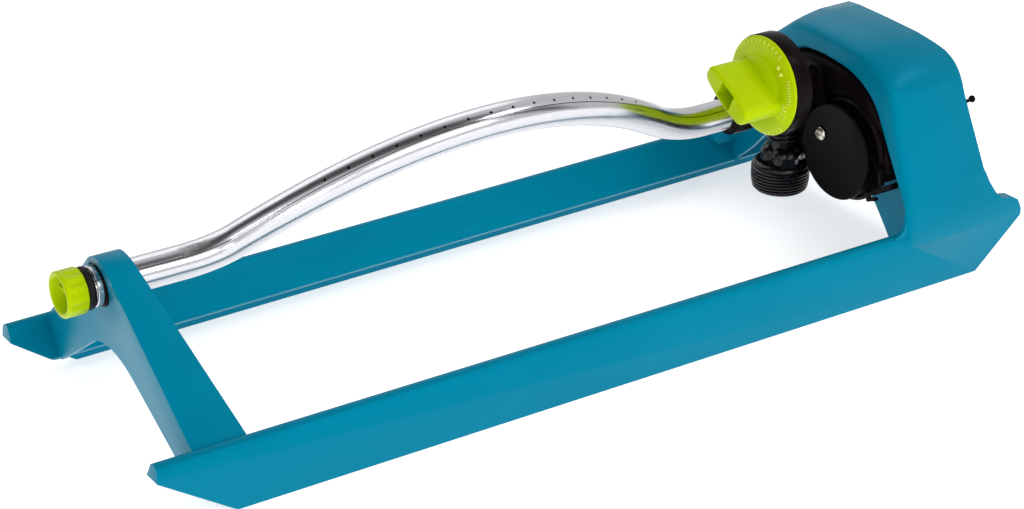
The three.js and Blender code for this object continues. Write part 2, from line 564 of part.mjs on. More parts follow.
const discPocket = [
  diskX(DRIVE.radius + 0.7, MOTOR.front - 2, driveBack + 0.6, CRANK.y, CRANK.z, 48),
  diskX(DRIVE.shaftR + FIT, MOTOR.front, DRIVE.x + DRIVE.shaft + FIT, CRANK.y, CRANK.z, 20),
];
const connectorRoom = [
  diskZ(INLET.threadR + 1.6, MOTOR.floorZ - 3, INLET.flangeZ + INLET.flange + 1.4, INLET.x, 0, 32),
  diskZ(INLET.threadR - 2, MOTOR.floorZ - 3, INLET.domeZ + 1.2, INLET.x, 0, 28),
];
const waterway = [
  diskX(BUSH.boreR, MOTOR.sleeveFront - 1, MOTOR.front - 1.2, 0, AXIS_Z, 36),
  diskZ(INLET.neckR - 1.4, INLET.bossZ - 7, AXIS_Z - 5, INLET.x, 0, 24),
];
const screwBores = caseScrews.map(([y, z]) => diskX(1.5, WALL_X - 7, WALL_X + 1, y, z, 14));
add('motor_housing', shaped(cut(caseBody, ...discPocket, ...connectorRoom, ...waterway, ...screwBores)), black);
add('outlet_bush', ringX(TUBE.radius + FIT, BUSH.radius, MOTOR.sleeveFront + 0.4, TUBE.rear, 0, AXIS_Z), black);

caseScrews.forEach(([y, z], i) => {
  const back = WALL_X + WALL + FIT;
  add(`case_screw_${i + 1}`, turnedX([
    [0, WALL_X - 6], [1.2, WALL_X - 6], [1.2, back], [3, back], [2.6, back + 1.4], [0, back + 1.7],
  ], y, z, 20), steel);
});

// ---------------------------------------------------------------- latch clip and trip bracket by the discs
// both stand on posts from the partition, clear of the edge of the rear disc
const clipX = [147.6, 149.6];
add('latch_clip', shaped(union(
  alongX(bar([-52.6, 39.8], [-65.2, 48.4], 0.9), ...clipX),
  alongX(bar([-50.9, 41.4], [-52.2, 37.2], 0.9), ...clipX),
  alongX(bar([-52.2, 37.2], [-56.4, 38.9], 0.8), ...clipX),
  alongX(bar([-56.4, 42.4], [-58.8, 44], 1.3), clipX[0] + 0.2, caseBack))), black);
const bracketX = [147.2, 149.4];
add('trip_bracket', shaped(union(
  alongX(bar([-48.8, 58.4], [-58.8, 53.3], 0.8), ...bracketX),
  alongX(bar([-58.8, 53.3], [-59.9, 47.7], 0.8), ...bracketX),
  alongX(bar([-59.4, 50.4], [-59.8, 48.8], 0.7), bracketX[0] + 0.2, caseBack))), black);

// ---------------------------------------------------------------- inlet neck and hose connector
const neckBore = 4;
const neckRib = (z) => [
  [INLET.neckR, z], [INLET.neckR + 1.1, z + 0.3], [INLET.neckR + 1.1, z + 1.1], [INLET.neckR, z + 1.4],
];
const neckTop = INLET.bossZ - FIT;
add('inlet_neck', turnedZ([
  [neckBore, 44.4], [INLET.neckR, 44.4], ...neckRib(50.6), ...neckRib(52.9), [INLET.neckR, neckTop - 1.5],
  [INLET.neckR + 1.6, neckTop - 1.3], [INLET.neckR + 1.6, neckTop], [neckBore, neckTop], [neckBore, 44.4],
], INLET.x, 0, 24), black);

const threadPitch = 1.9;
const threadTurns = Array.from({ length: 6 }, (_, i) => {
  const z = INLET.rimZ + 0.4 + i * threadPitch;
  return [[INLET.threadR - 1, z], [INLET.threadR, z + 0.6], [INLET.threadR, z + 0.9], [INLET.threadR - 1, z + 1.6]];
}).flat();
const hexagon = arc(INLET.x, 0, INLET.threadR - 0.3, 17, 317, 5);
const hexFlange = new THREE.ExtrudeGeometry(polygon(hexagon), { depth: INLET.flange, bevelEnabled: false });
hexFlange.translate(0, 0, INLET.flangeZ - 0.2);
const lobes = arc(INLET.x, 0, 4.9, 37, 307, 3).map(([x, y]) => turnedZ([
  [0, INLET.flangeZ + 1.8], [5.4, INLET.flangeZ + 1.8], [5.4, INLET.domeZ - 3.4], [4.6, INLET.domeZ - 1.4],
  [2.6, INLET.domeZ - 0.2], [0, INLET.domeZ],
], x, y, 12));
const connector = union(
  turnedZ([
    [0, INLET.rimZ], [INLET.threadR - 1, INLET.rimZ], ...threadTurns, [INLET.threadR - 0.6, INLET.flangeZ],
    [0, INLET.flangeZ],
  ], INLET.x, 0, 24),
  hexFlange, ...lobes);
const mouthR = INLET.threadR - 3.1;
add('hose_connector', shaped(cut(
  connector,
  diskZ(mouthR, INLET.rimZ - 8, INLET.flangeZ - 2.2, INLET.x, 0, 24),
  diskZ(INLET.neckR + FIT, INLET.rimZ + 2, INLET.domeZ + 10, INLET.x, 0, 24))), black);
const seatZ = INLET.flangeZ - 2.2 - FIT;
add('hose_washer', turnedZ([
  [INLET.neckR + 0.6, seatZ - 2.6], [mouthR - 0.4, seatZ - 2.6], [mouthR - 0.4, seatZ], [INLET.neckR + 0.6, seatZ],
  [INLET.neckR + 0.6, seatZ - 2.6],
], INLET.x, 0, 28), rubber);
add('inlet_filter', turnedZ([
  [0, seatZ - 4.1], [2.6, seatZ - 3.7], [5, seatZ - 2.7], [INLET.neckR + 0.2, seatZ - 1.5],
  [INLET.neckR + 0.2, seatZ - 0.5], [0, seatZ - 0.5],
], INLET.x, 0, 24), alu);

// ---------------------------------------------------------------- cap and peg on the back of the hood
const wallLean = Math.atan2(197.5 - 193.6, 74.5 - 48.4);
const onBackWall = (name, profile, x, y, z, segments) => {
  const g = turnedX(profile, 0, 0, segments);
  g.rotateY(-wallLean);
  g.translate(x, y, z);
  add(name, g, black);
};
onBackWall('rear_cap', [
  [0, 0], [CAP.radius, 0], [CAP.radius, 3], [CAP.radius - 1.6, CAP.depth - 2], [CAP.radius - 4.5, CAP.depth],
  [0, CAP.depth + 0.6],
], 195.8, CAP.y, CAP.z, 32);
onBackWall('rear_peg', [
  [0, 0], [2.4, 0], [2.4, 0.8], [0.9, 1.2], [0.9, 8.2], [1.7, 9], [1.7, 10.2], [0.9, 10.9], [0, 11],
], 194.05, CAP.y - 9, CAP.z + 12.2, 18);

export default part;
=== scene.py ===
# Oscillating garden sprinkler: the moulded frame, its bent spray tube, the range dial and rocker that swing
# with it, and the crank, motor housing and hose connector under the hood.
import json
import math

import bmesh
import bpy
from mathutils import Matrix, Vector


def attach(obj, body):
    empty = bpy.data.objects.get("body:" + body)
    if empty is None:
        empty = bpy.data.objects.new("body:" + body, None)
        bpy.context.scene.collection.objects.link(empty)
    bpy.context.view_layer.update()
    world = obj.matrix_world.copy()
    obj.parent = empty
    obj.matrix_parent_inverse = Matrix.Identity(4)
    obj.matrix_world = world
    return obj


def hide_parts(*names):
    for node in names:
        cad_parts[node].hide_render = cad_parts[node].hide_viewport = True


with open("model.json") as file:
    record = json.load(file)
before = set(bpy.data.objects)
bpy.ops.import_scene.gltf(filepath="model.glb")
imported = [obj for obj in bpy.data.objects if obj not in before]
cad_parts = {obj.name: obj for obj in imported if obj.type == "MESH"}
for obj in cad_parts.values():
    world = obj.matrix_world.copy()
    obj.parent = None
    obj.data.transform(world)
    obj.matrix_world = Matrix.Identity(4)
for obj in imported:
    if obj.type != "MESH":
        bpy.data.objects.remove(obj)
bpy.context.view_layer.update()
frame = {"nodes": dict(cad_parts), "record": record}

# ---------------------------------------------------------------- view, floor and light
# The sprinkler stands on a plain pale floor under a white surround. A broad lamp in front and a broader one
# behind light it evenly. Three small lamps, to the left, low in front and to the right, are for highlights.
view_elevation, view_heading = 25.98, -33.74
view_lens = bpy.data.cameras.new("view")
view_lens.lens = 87.81
view_lens.sensor_width = 36
view_camera = bpy.data.objects.new("view", view_lens)
view_camera.location = (-0.55065, -0.8106, 0.5062)
view_camera.rotation_euler = (math.radians(90 - view_elevation), 0, math.radians(view_heading))
bpy.context.scene.collection.objects.link(view_camera)
bpy.context.scene.camera = view_camera
bpy.context.scene.view_settings.view_transform = "Standard"


def soft_lamp(name, place, size, power):
    lamp = bpy.data.lights.new(name, "AREA")
    lamp.shape = "RECTANGLE"
    lamp.size, lamp.size_y = size
    lamp.energy = power
    holder = bpy.data.objects.new(name, lamp)
    holder.location = place
    holder.rotation_euler = (Vector((0, 0, 0.05)) - Vector(place)).to_track_quat("-Z", "Y").to_euler()
    bpy.context.scene.collection.objects.link(holder)


soft_lamp("key_lamp", (0.25, -1.75, 0.95), (1.2, 0.6), 9)
soft_lamp("back_lamp", (0.2, 1.6, 1.7), (2.6, 1.4), 9)
soft_lamp("left_lamp", (-1.4, -0.9, 1.15), (0.3, 0.3), 2.2)
soft_lamp("edge_lamp", (-0.75, -1.5, 0.45), (0.2, 0.4), 2.5)
soft_lamp("right_lamp", (1.0, -0.85, 1.45), (0.35, 0.35), 5)

surround = bpy.data.worlds.new("surround")
bpy.context.scene.world = surround
surround.use_nodes = True
sky = surround.node_tree
sky.nodes.clear()
rays = sky.nodes.new("ShaderNodeLightPath")
heading = sky.nodes.new("ShaderNodeSeparateXYZ")
sky.links.new(sky.nodes.new("ShaderNodeTexCoord").outputs["Generated"], heading.inputs[0])


def maths(tree, operation, a, b, clamp=False):
    node = tree.nodes.new("ShaderNodeMath")
    node.operation = operation
    node.use_clamp = clamp
    for socket, value in zip(node.inputs, (a, b)):
        if isinstance(value, (int, float)):
            socket.default_value = value
        else:
            tree.links.new(value, socket)
    return node.outputs[0]


def remap(tree, value, low, high, to_low, to_high):
    node = tree.nodes.new("ShaderNodeMapRange")
    node.interpolation_type = "SMOOTHSTEP"
    tree.links.new(value, node.inputs["Value"])
    for label, limit in (("From Min", low), ("From Max", high), ("To Min", to_low), ("To Max", to_high)):
        node.inputs[label].default_value = limit
    return node.outputs["Result"]


# a dark strip of ceiling overhead, seen only in reflections
toward_view = (-0.555, -0.832)
strip_front, strip_back = (0.9, 1.15), (1.9, 1.62)
strip_darkness, reflected_white = 0.76, 0.85
forward = maths(sky, "ADD", maths(sky, "MULTIPLY", heading.outputs["X"], toward_view[0]),
                maths(sky, "MULTIPLY", heading.outputs["Y"], toward_view[1]))
rise = maths(sky, "ARCTAN2", heading.outputs["Z"], forward)
strip = maths(sky, "MULTIPLY", remap(sky, rise, *strip_front, 0.0, 1.0),
              remap(sky, rise, *strip_back, 0.0, 1.0))
glossy_level = maths(sky, "SUBTRACT", reflected_white, maths(sky, "MULTIPLY", strip, strip_darkness))
plain = maths(sky, "MAXIMUM", rays.outputs["Is Camera Ray"], rays.outputs["Is Transmission Ray"])
level = maths(sky, "MAXIMUM", plain, maths(sky, "MULTIPLY", rays.outputs["Is Glossy Ray"], glossy_level))
white_sky = sky.nodes.new("ShaderNodeBackground")
sky.links.new(level, white_sky.inputs["Strength"])
soft_sky = sky.nodes.new("ShaderNodeBackground")
soft_sky.inputs["Color"].default_value = (0.97, 0.985, 1.0, 1)
soft_sky.inputs["Strength"].default_value = 0.5
either_sky = sky.nodes.new("ShaderNodeMixShader")
sky.links.new(maths(sky, "MAXIMUM", plain, rays.outputs["Is Glossy Ray"]), either_sky.inputs[0])
sky.links.new(soft_sky.outputs[0], either_sky.inputs[1])
sky.links.new(white_sky.outputs[0], either_sky.inputs[2])
sky.links.new(either_sky.outputs[0], sky.nodes.new("ShaderNodeOutputWorld").inputs["Surface"])

floor_half = 6.0
floor_mesh = bpy.data.meshes.new("floor")
floor_mesh.from_pydata([(x, y, 0) for x, y in ((-floor_half, -floor_half), (floor_half, -floor_half),
                                               (floor_half, floor_half), (-floor_half, floor_half))],
                       [], [(0, 1, 2, 3)])
floor = bpy.data.objects.new("floor", floor_mesh)
bpy.context.scene.collection.objects.link(floor)
floor_finish = bpy.data.materials.new("pale_floor")
floor_finish.use_nodes = True
floor_shader = floor_finish.node_tree.nodes["Principled BSDF"]
floor_shader.inputs["Base Color"].default_value = (0.9, 0.9, 0.9, 1)
floor_shader.inputs["Roughness"].default_value = 0.85
floor_shader.inputs["Emission Color"].default_value = (1, 1, 1, 1)
floor_shader.inputs["Emission Strength"].default_value = 0.62
floor_mesh.materials.append(floor_finish)

# ---------------------------------------------------------------- frame
# The frame is one large injection moulding of teal polypropylene: two hollow rails, the arched front bridge
# and the hood. The mould leaves a satin skin with a fine grain, faint flow marks and small round edges.
MM = 0.001


def srgb(*levels):
    return tuple(c / 255 / 12.92 if c < 10 else ((c / 255 + 0.055) / 1.055) ** 2.4 for c in levels) + (1,)


def shader_group(name, inputs, outputs):
    tree = bpy.data.node_groups.new(name, "ShaderNodeTree")
    for label, value in inputs.items():
        kind = "Float" if isinstance(value, float) else "Vector" if len(value) == 3 else "Color"
        socket = tree.interface.new_socket(label, in_out="INPUT", socket_type="NodeSocket" + kind)
        socket.default_value = value
    for label, kind in outputs.items():
        tree.interface.new_socket(label, in_out="OUTPUT", socket_type=kind)
    return tree, tree.nodes.new("NodeGroupInput"), tree.nodes.new("NodeGroupOutput")


def noise(tree, scale, detail, stretch=None):
    place = tree.nodes.new("ShaderNodeTexCoord").outputs["Object"]
    if stretch:
        mapping = tree.nodes.new("ShaderNodeMapping")
        mapping.inputs["Scale"].default_value = stretch
        tree.links.new(place, mapping.inputs["Vector"])
        place = mapping.outputs["Vector"]
    node = tree.nodes.new("ShaderNodeTexNoise")
    node.inputs["Detail"].default_value = detail
    tree.links.new(place, node.inputs["Vector"])
    if isinstance(scale, (int, float)):
        node.inputs["Scale"].default_value = scale
    else:
        tree.links.new(scale, node.inputs["Scale"])
    return node.outputs["Fac"]


def mixed(tree, amount, a, b):
    node = tree.nodes.new("ShaderNodeMix")
    node.data_type = "RGBA"
    for socket, value in zip((node.inputs[0], node.inputs[6], node.inputs[7]), (amount, a, b)):
        if isinstance(value, (int, float, tuple)):
            socket.default_value = value
        else:
            tree.links.new(value, socket)
    return node.outputs[2]


# fine mould grain and slow flow marks in moulded plastic
moulded_skin, skin_in, skin_out = shader_group(
    "moulded_skin",
    {"Color": (0.5, 0.5, 0.5, 1), "Flow": 0.08, "Grain Scale": 2600.0, "Roughness": 0.4,
     "Roughness Spread": 0.08},
    {"Color": "NodeSocketColor", "Roughness": "NodeSocketFloat", "Height": "NodeSocketFloat"})
flow = noise(moulded_skin, 11, 3, (1, 1.6, 2.4))
grain = noise(moulded_skin, skin_in.outputs["Grain Scale"], 2)
shade = maths(moulded_skin, "MULTIPLY", maths(moulded_skin, "SUBTRACT", flow, 0.5), skin_in.outputs["Flow"])
level = maths(moulded_skin, "ADD", shade, 1.0)
tint = moulded_skin.nodes.new("ShaderNodeVectorMath")
tint.operation = "SCALE"
moulded_skin.links.new(skin_in.outputs["Color"], tint.inputs[0])
moulded_skin.links.new(level, tint.inputs["Scale"])
moulded_skin.links.new(tint.outputs[0], skin_out.inputs["Color"])
ripple = maths(moulded_skin, "ADD", maths(moulded_skin, "MULTIPLY", grain, 0.6),
               maths(moulded_skin, "MULTIPLY", flow, 0.4))
spread = maths(moulded_skin, "MULTIPLY", maths(moulded_skin, "SUBTRACT", ripple, 0.5),
               skin_in.outputs["Roughness Spread"])
moulded_skin.links.new(maths(moulded_skin, "ADD", skin_in.outputs["Roughness"], spread),
                       skin_out.inputs["Roughness"])
moulded_skin.links.new(grain, skin_out.inputs["Height"])

# sparse hairline scuffs along the piece
scuffs, scuffs_in, scuffs_out = shader_group(
    "scuffs", {"Amount": 0.3, "Scale": 260.0}, {"Mask": "NodeSocketFloat"})
hairs = noise(scuffs, scuffs_in.outputs["Scale"], 4, (0.12, 1, 1))
patches = noise(scuffs, 23, 2)
worn = maths(scuffs, "MULTIPLY", remap(scuffs, hairs, 0.62, 0.72, 0.0, 1.0),
             remap(scuffs, patches, 0.5, 0.66, 0.0, 1.0))
scuffs.links.new(maths(scuffs, "MULTIPLY", worn, scuffs_in.outputs["Amount"], True),
                 scuffs_out.inputs["Mask"])


def grouped(tree, group, **values):
    node = tree.nodes.new("ShaderNodeGroup")
    node.node_tree = group
    for label, value in values.items():
        node.inputs[label.replace("_", " ")].default_value = value
    return node


def bumped(tree, shader, height, depth, strength):
    bump = tree.nodes.new("ShaderNodeBump")
    bump.inputs["Distance"].default_value = depth
    bump.inputs["Strength"].default_value = strength
    tree.links.new(height, bump.inputs["Height"])
    tree.links.new(bump.outputs["Normal"], shader.inputs["Normal"])


def moulded_plastic(name, colour, worn_colour, roughness, specular, shine, flow_amount, scuffing):
    finish = bpy.data.materials.new(name)
    finish.use_nodes = True
    tree = finish.node_tree
    shader = tree.nodes["Principled BSDF"]
    shader.inputs["Specular IOR Level"].default_value = specular
    shader.inputs["Specular Tint"].default_value = shine
    skin = grouped(tree, moulded_skin, Color=colour, Flow=flow_amount, Roughness=roughness)
    wear = grouped(tree, scuffs, Amount=scuffing)
    tree.links.new(mixed(tree, wear.outputs["Mask"], skin.outputs["Color"], worn_colour),
                   shader.inputs["Base Color"])
    rougher = maths(tree, "MULTIPLY", wear.outputs["Mask"], 0.35)
    tree.links.new(maths(tree, "ADD", skin.outputs["Roughness"], rougher, True), shader.inputs["Roughness"])
    bumped(tree, shader, skin.outputs["Height"], 0.02 * MM, 0.35)
    return finish


teal_plastic = moulded_plastic("teal_plastic", srgb(0, 122, 151), srgb(36, 148, 172), roughness=0.32,
                               specular=0.2, shine=(0, 0.7, 1, 1), flow_amount=0.3, scuffing=0.15)


def linked(name, mesh):
    mesh.shade_smooth()
    piece = bpy.data.objects.new(name, mesh)
    bpy.context.scene.collection.objects.link(piece)
    return piece


def edged(piece, radius, angle=35, segments=3):
    edges = piece.modifiers.new("edges", "BEVEL")
    edges.width = radius
    edges.segments = segments
    edges.limit_method = "ANGLE"
    edges.angle_limit = math.radians(angle)
    edges.harden_normals = True
    return piece


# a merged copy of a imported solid, with the small round edges that a mould or a die leaves on it
def softened(node, radius, segments=3):
    mesh = frame["nodes"][node].data.copy()
    mesh.name = node + "_made"
    shape = bmesh.new()
    shape.from_mesh(mesh)
    bmesh.ops.remove_doubles(shape, verts=shape.verts, dist=1e-6)
    bmesh.ops.dissolve_limit(shape, angle_limit=math.radians(0.6), verts=shape.verts, edges=shape.edges)
    shape.to_mesh(mesh)
    shape.free()
    mesh.materials.clear()
    return edged(linked(node + "_made", mesh), radius, 30, segments)


body_of_node = {n: body for body, nodes in frame["record"]["behaviour"]["bodies"].items() for n in nodes}


def fitted(piece, finish, slot, *nodes):
    piece.data.materials.clear()
    piece.data.materials.append(finish)
    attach(piece, body_of_node[nodes[0]])
    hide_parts(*nodes)
    return piece


moulding = softened("base_frame", 1.3 * MM, segments=4)
# the ridge of each tail is rolled down to its tip
tail_start, tail_run, tail_drop, ridge_height = 203.6, 4, 1.5, 27.5
for corner in moulding.data.vertices:
    x, z = corner.co.x / MM, corner.co.z / MM
    if x > tail_start and z > ridge_height:
        corner.co.z -= tail_drop * MM * min(1, (x - tail_start) / tail_run)
fitted(moulding, teal_plastic, "frame_plastic", "base_frame")

# ---------------------------------------------------------------- motor housing and its screws
# The water motor sits in a black glass-filled housing pushed into the hood opening, with a sleeve for the
# tube. Four cross-head screws go through the partition from behind and hold it.
def closed(name, shape):
    bmesh.ops.recalc_face_normals(shape, faces=shape.faces)
    mesh = bpy.data.meshes.new(name)
    shape.to_mesh(mesh)
    shape.free()
    return linked(name, mesh)


# a solid turned about the X or the Z axis from pairs of radius and distance along it, all in millimetres
def turned(name, profile, centre, axis="X", sides=96, radius_at=None):
    shape = bmesh.new()
    rings = []
    for radius, along in profile:
        ring = []
        for i in range(sides if radius > 0 else 1):
            angle = 2 * math.pi * i / sides
            r = radius_at(radius, along, angle) if radius_at and radius > 0 else radius
            a, b = centre[0] + r * math.cos(angle), centre[1] + r * math.sin(angle)
            ring.append(shape.verts.new(Vector((along, a, b) if axis == "X" else (a, b, along)) * MM))
        rings.append(ring)
    for here, there in zip(rings, rings[1:]):
        for i in range(sides):
            j = (i + 1) % sides
            corners = {here[i % len(here)]: 0, here[j % len(here)]: 0, there[j % len(there)]: 0,
                       there[i % len(there)]: 0}
            if len(corners) > 2:
                shape.faces.new(list(corners))
    if profile[0] == profile[-1]:
        bmesh.ops.remove_doubles(shape, verts=shape.verts, dist=1e-7)
    return closed(name, shape)


# a solid with a drawn outline, in millimetres, pushed out along X or Z
def prism(name, outline, start, end, axis="X"):
    shape = bmesh.new()
    layers = [[shape.verts.new(Vector((along, a, b) if axis == "X" else (a, b, along)) * MM)
               for a, b in outline] for along in (start, end)]
    for i in range(len(outline)):
        j = (i + 1) % len(outline)
        shape.faces.new((layers[0][i], layers[0][j], layers[1][j], layers[1][i]))
    shape.faces.new(layers[0])
    shape.faces.new(layers[1][::-1])
    return closed(name, shape)


def joined(piece, operation, *others):
    for other in others:
        step = piece.modifiers.new("step", "BOOLEAN")
        step.operation = operation
        step.solver = "MANIFOLD"
        step.object = other
    mesh = bpy.data.meshes.new_from_object(piece.evaluated_get(bpy.context.evaluated_depsgraph_get()))
    name = piece.name
    for used in (piece, *others):
        bpy.data.objects.remove(used)
    return linked(name, mesh)


def geometry_tree(name, inputs):
    tree = bpy.data.node_groups.new(name, "GeometryNodeTree")
    tree.is_modifier = True
    tree.interface.new_socket("Geometry", in_out="INPUT", socket_type="NodeSocketGeometry")
    for label, kind in inputs.items():
        tree.interface.new_socket(label, in_out="INPUT", socket_type="NodeSocket" + kind)
    tree.interface.new_socket("Geometry", in_out="OUTPUT", socket_type="NodeSocketGeometry")
    return tree, tree.nodes.new("NodeGroupInput").outputs, tree.nodes.new("NodeGroupOutput").inputs[0]


def step(tree, kind, links, **settings):
    node = tree.nodes.new(kind)
    for label, value in settings.items():
        setattr(node, label, value)
    for label, value in links.items():
        if isinstance(value, bpy.types.NodeSocket):
            tree.links.new(value, node.inputs[label])
        else:
            node.inputs[label].default_value = value
    return node


def grown(name, tree, points, values, lines=()):
    seed_mesh = bpy.data.meshes.new(name)
    seed_mesh.from_pydata([Vector(p) * MM for p in points], lines, [])
    seed = bpy.data.objects.new(name + "_seed", seed_mesh)
    bpy.context.scene.collection.objects.link(seed)
    for label, numbers in values.pop("per_point", {}).items():
        seed_mesh.attributes.new(label, "FLOAT", "POINT").data.foreach_set("value", numbers)
    growth = seed.modifiers.new("growth", "NODES")
    growth.node_group = tree
    for socket in tree.interface.items_tree:
        if socket.in_out == "INPUT" and socket.name in values:
            growth[socket.identifier] = values[socket.name]
    mesh = bpy.data.meshes.new_from_object(seed.evaluated_get(bpy.context.evaluated_depsgraph_get()))
    mesh.name = name
    bpy.data.objects.remove(seed)
    return linked(name, mesh)


black_plastic = moulded_plastic("black_plastic", srgb(16, 11, 13), srgb(58, 54, 57), roughness=0.32,
                                specular=0.05, shine=(1, 0.85, 0.9, 1), flow_amount=0.25, scuffing=0.3)
fitted(softened("motor_housing", 0.8 * MM), black_plastic, "black_plastic", "motor_housing")

# slightly cloudy bright plating for the screws
screw_steel = bpy.data.materials.new("screw_steel")
screw_steel.use_nodes = True
plating = screw_steel.node_tree
plated = plating.nodes["Principled BSDF"]
plated.inputs["Metallic"].default_value = 1.0
cloud = noise(plating, 900, 3)
plating.links.new(mixed(plating, cloud, srgb(226, 222, 212), srgb(176, 168, 154)),
                  plated.inputs["Base Color"])
plating.links.new(remap(plating, cloud, 0.3, 0.7, 0.2, 0.38), plated.inputs["Roughness"])


# a cross-head screw pointing along -Z with its seat at the origin
def cross_screw(name, head_radius, head_height, shank_radius, shank_length):
    head = turned(name, [
        (0, head_height), (head_radius * 0.45, head_height * 0.96), (head_radius * 0.8, head_height * 0.7),
        (head_radius * 0.96, head_height * 0.32), (head_radius, 0), (shank_radius, 0),
        (shank_radius, -shank_length + 0.6), (0, -shank_length)], (0, 0), "Z", 48)
    slot_reach, slot_half, slot_floor = head_radius * 0.62, 0.42, head_height * 0.35
    slots = [prism("slot", [(-a, -b), (a, -b), (a, b), (-a, b)], slot_floor, head_height + 1, "Z")
             for a, b in ((slot_reach, slot_half), (slot_half, slot_reach))]
    return joined(head, "DIFFERENCE", *slots)


screws_on_points, given, result = geometry_tree(
    "screws_on_points", {"Screw": "Object", "Turn": "Vector", "Finish": "Material"})
screw = step(screws_on_points, "GeometryNodeObjectInfo", {"Object": given["Screw"]})
stood = step(screws_on_points, "GeometryNodeInstanceOnPoints", {
    "Points": given["Geometry"], "Instance": screw.outputs["Geometry"], "Rotation": given["Turn"]})
whole = step(screws_on_points, "GeometryNodeRealizeInstances", {"Geometry": stood.outputs[0]})
coated = step(screws_on_points, "GeometryNodeSetMaterial", {
    "Geometry": whole.outputs[0], "Material": given["Finish"]})
screws_on_points.links.new(coated.outputs[0], result)


def screws(name, kind, turn, points, *nodes):
    piece = grown(name, screws_on_points, points, {"Screw": kind, "Turn": turn, "Finish": screw_steel})
    bpy.data.objects.remove(kind)
    piece.data.set_sharp_from_angle(angle=math.radians(40))
    return fitted(piece, screw_steel, "screw_steel", *nodes)


screw_seat = 166.4
screws("case_screws", cross_screw("case_screw", 3, 1.7, 1.2, 8.6), (0, math.radians(90), 0),
       [(screw_seat, -43, 63), (screw_seat, 36, 60), (screw_seat, -26, 83), (screw_seat, 16, 78)],
       "case_screw_1", "case_screw_2", "case_screw_3", "case_screw_4")

# ---------------------------------------------------------------- crank and drive discs
# Two thin black moulded discs share the motor shaft. Each has a raised rim, and a plated cross-head screw
# sits off the centre of the front one.
crank_y, crank_z = -32.8, 54.4
pin_y, pin_z = -23, 60.2
front_disc = turned("crank_disc", [
    (0, 143.6), (20.9, 143.6), (21.3, 143.4), (21.8, 143.4), (22.2, 143.8), (22.2, 144.6), (21.8, 145),
    (3, 145), (3, 152.3), (0, 152.3)], (crank_y, crank_z), sides=144)
hole_radius, hole_sides = 1.7, 32
hole_angles = [2 * math.pi * i / hole_sides for i in range(hole_sides)]
pin_hole = [(pin_y + hole_radius * math.cos(a), pin_z + hole_radius * math.sin(a)) for a in hole_angles]
front_disc = joined(front_disc, "DIFFERENCE", prism("pin_hole", pin_hole, 142, 146))
fitted(edged(front_disc, 0.15 * MM), black_plastic, "black_plastic", "crank_disc")
rear_disc = turned("drive_disc", [
    (0, 152.6), (22.2, 152.6), (22.2, 150.1), (22.9, 149.9), (24.1, 151.3), (24.1, 153.8), (2.4, 153.8),
    (2.4, 158), (0, 158)],
    (crank_y, crank_z), sides=144)
fitted(edged(rear_disc, 0.2 * MM), black_plastic, "black_plastic", "drive_disc")
screws("crank_screw", cross_screw("pin_screw", 3.3, 1.4, 1.4, 1.9), (0, math.radians(-90), 0),
       [(143.1, pin_y, pin_z)], "crank_screw")

# ---------------------------------------------------------------- latch clip and trip bracket
# Two small black mouldings stand on posts beside the rear disc: a springy clip below and an angled trip
# above. They are plain strips with slightly rounded edges.
for strip in ("latch_clip", "trip_bracket"):
    fitted(softened(strip, 0.25 * MM), black_plastic, "black_plastic", strip)

# ---------------------------------------------------------------- inlet neck and hose connector
# The black connector swivels on a ribbed neck below the housing. It has a moulded male thread under a round
# shoulder and a six-cornered collar with polished domes. A washer and a wire filter sit in its mouth.
inlet_x = 140.3
glossy_black = moulded_plastic("glossy_black_plastic", srgb(13, 11, 13), srgb(70, 68, 72), roughness=0.2,
                               specular=0.35, shine=(1, 0.95, 0.97, 1), flow_amount=0.2, scuffing=0.15)


def neck_rib(z):
    return [(6, z), (6.8, z + 0.15), (7.1, z + 0.5), (7.1, z + 0.9), (6.8, z + 1.25), (6, z + 1.4)]


fitted(edged(turned("inlet_neck", [
    (4, 44.4), (6, 44.4), *neck_rib(50.6), *neck_rib(52.9), (6, 55.2), (7.6, 55.4), (7.6, 56.7), (4, 56.7),
    (4, 44.4)], (inlet_x, 0), "Z"), 0.15 * MM, 50), glossy_black, "black_plastic", "inlet_neck")

thread_root, thread_depth, thread_pitch = 12.8, 0.8, 1.55
thread_low, thread_high, shoulder_high = 26.0, 37.6, 40.0
thread_lead, thread_fade = 0.3, 0.6
flank_level, flank_slope = 1.9, 4.6


def threaded(radius, z, angle):
    if not thread_low + thread_lead < z < thread_high:
        return radius
    turn = ((z - thread_low) / thread_pitch - angle / (2 * math.pi)) % 1
    ridge = min(1.0, max(0.0, flank_level - abs(turn - 0.5) * flank_slope))
    fade = min(1.0, (z - thread_low - thread_lead) / thread_fade, (thread_high - z) / thread_fade)
    return radius + thread_depth * ridge * fade


# the thread starts a little slimmer, so that a nut finds it easily
skin_steps = 116
start_taper, start_length = 1.1, 6
thread_skin = []
for i in range(skin_steps + 1):
    climb = (thread_high - thread_low) * i / skin_steps
    slimmer = start_taper * max(0.0, 1 - climb / start_length) ** 1.5
    thread_skin.append((thread_root - slimmer, thread_low + climb))
shoulder_inset, shoulder_width = 1.9, 2.2
shoulder_low, shoulder_rise = thread_high + 0.3, shoulder_high - thread_high - 0.3
shoulder = [(thread_root - shoulder_inset + shoulder_width * math.cos(t * math.pi / 16),
             shoulder_low + shoulder_rise * math.sin(t * math.pi / 16)) for t in range(9)]
connector = turned("hose_connector", [(0, thread_low), *thread_skin, *shoulder, (0, shoulder_high)],
                   (inlet_x, 0), "Z", 128, threaded)
collar_corners = [(-8.2, 4.3), (-7.1, -9.2), (-1.5, -11.8), (10.2, -5.4), (7.1, 9.2), (1.5, 11.8)]
collar_low, collar_high = 39, 44
collar = prism("collar", [(inlet_x + x, y) for x, y in collar_corners], collar_low, collar_high, "Z")
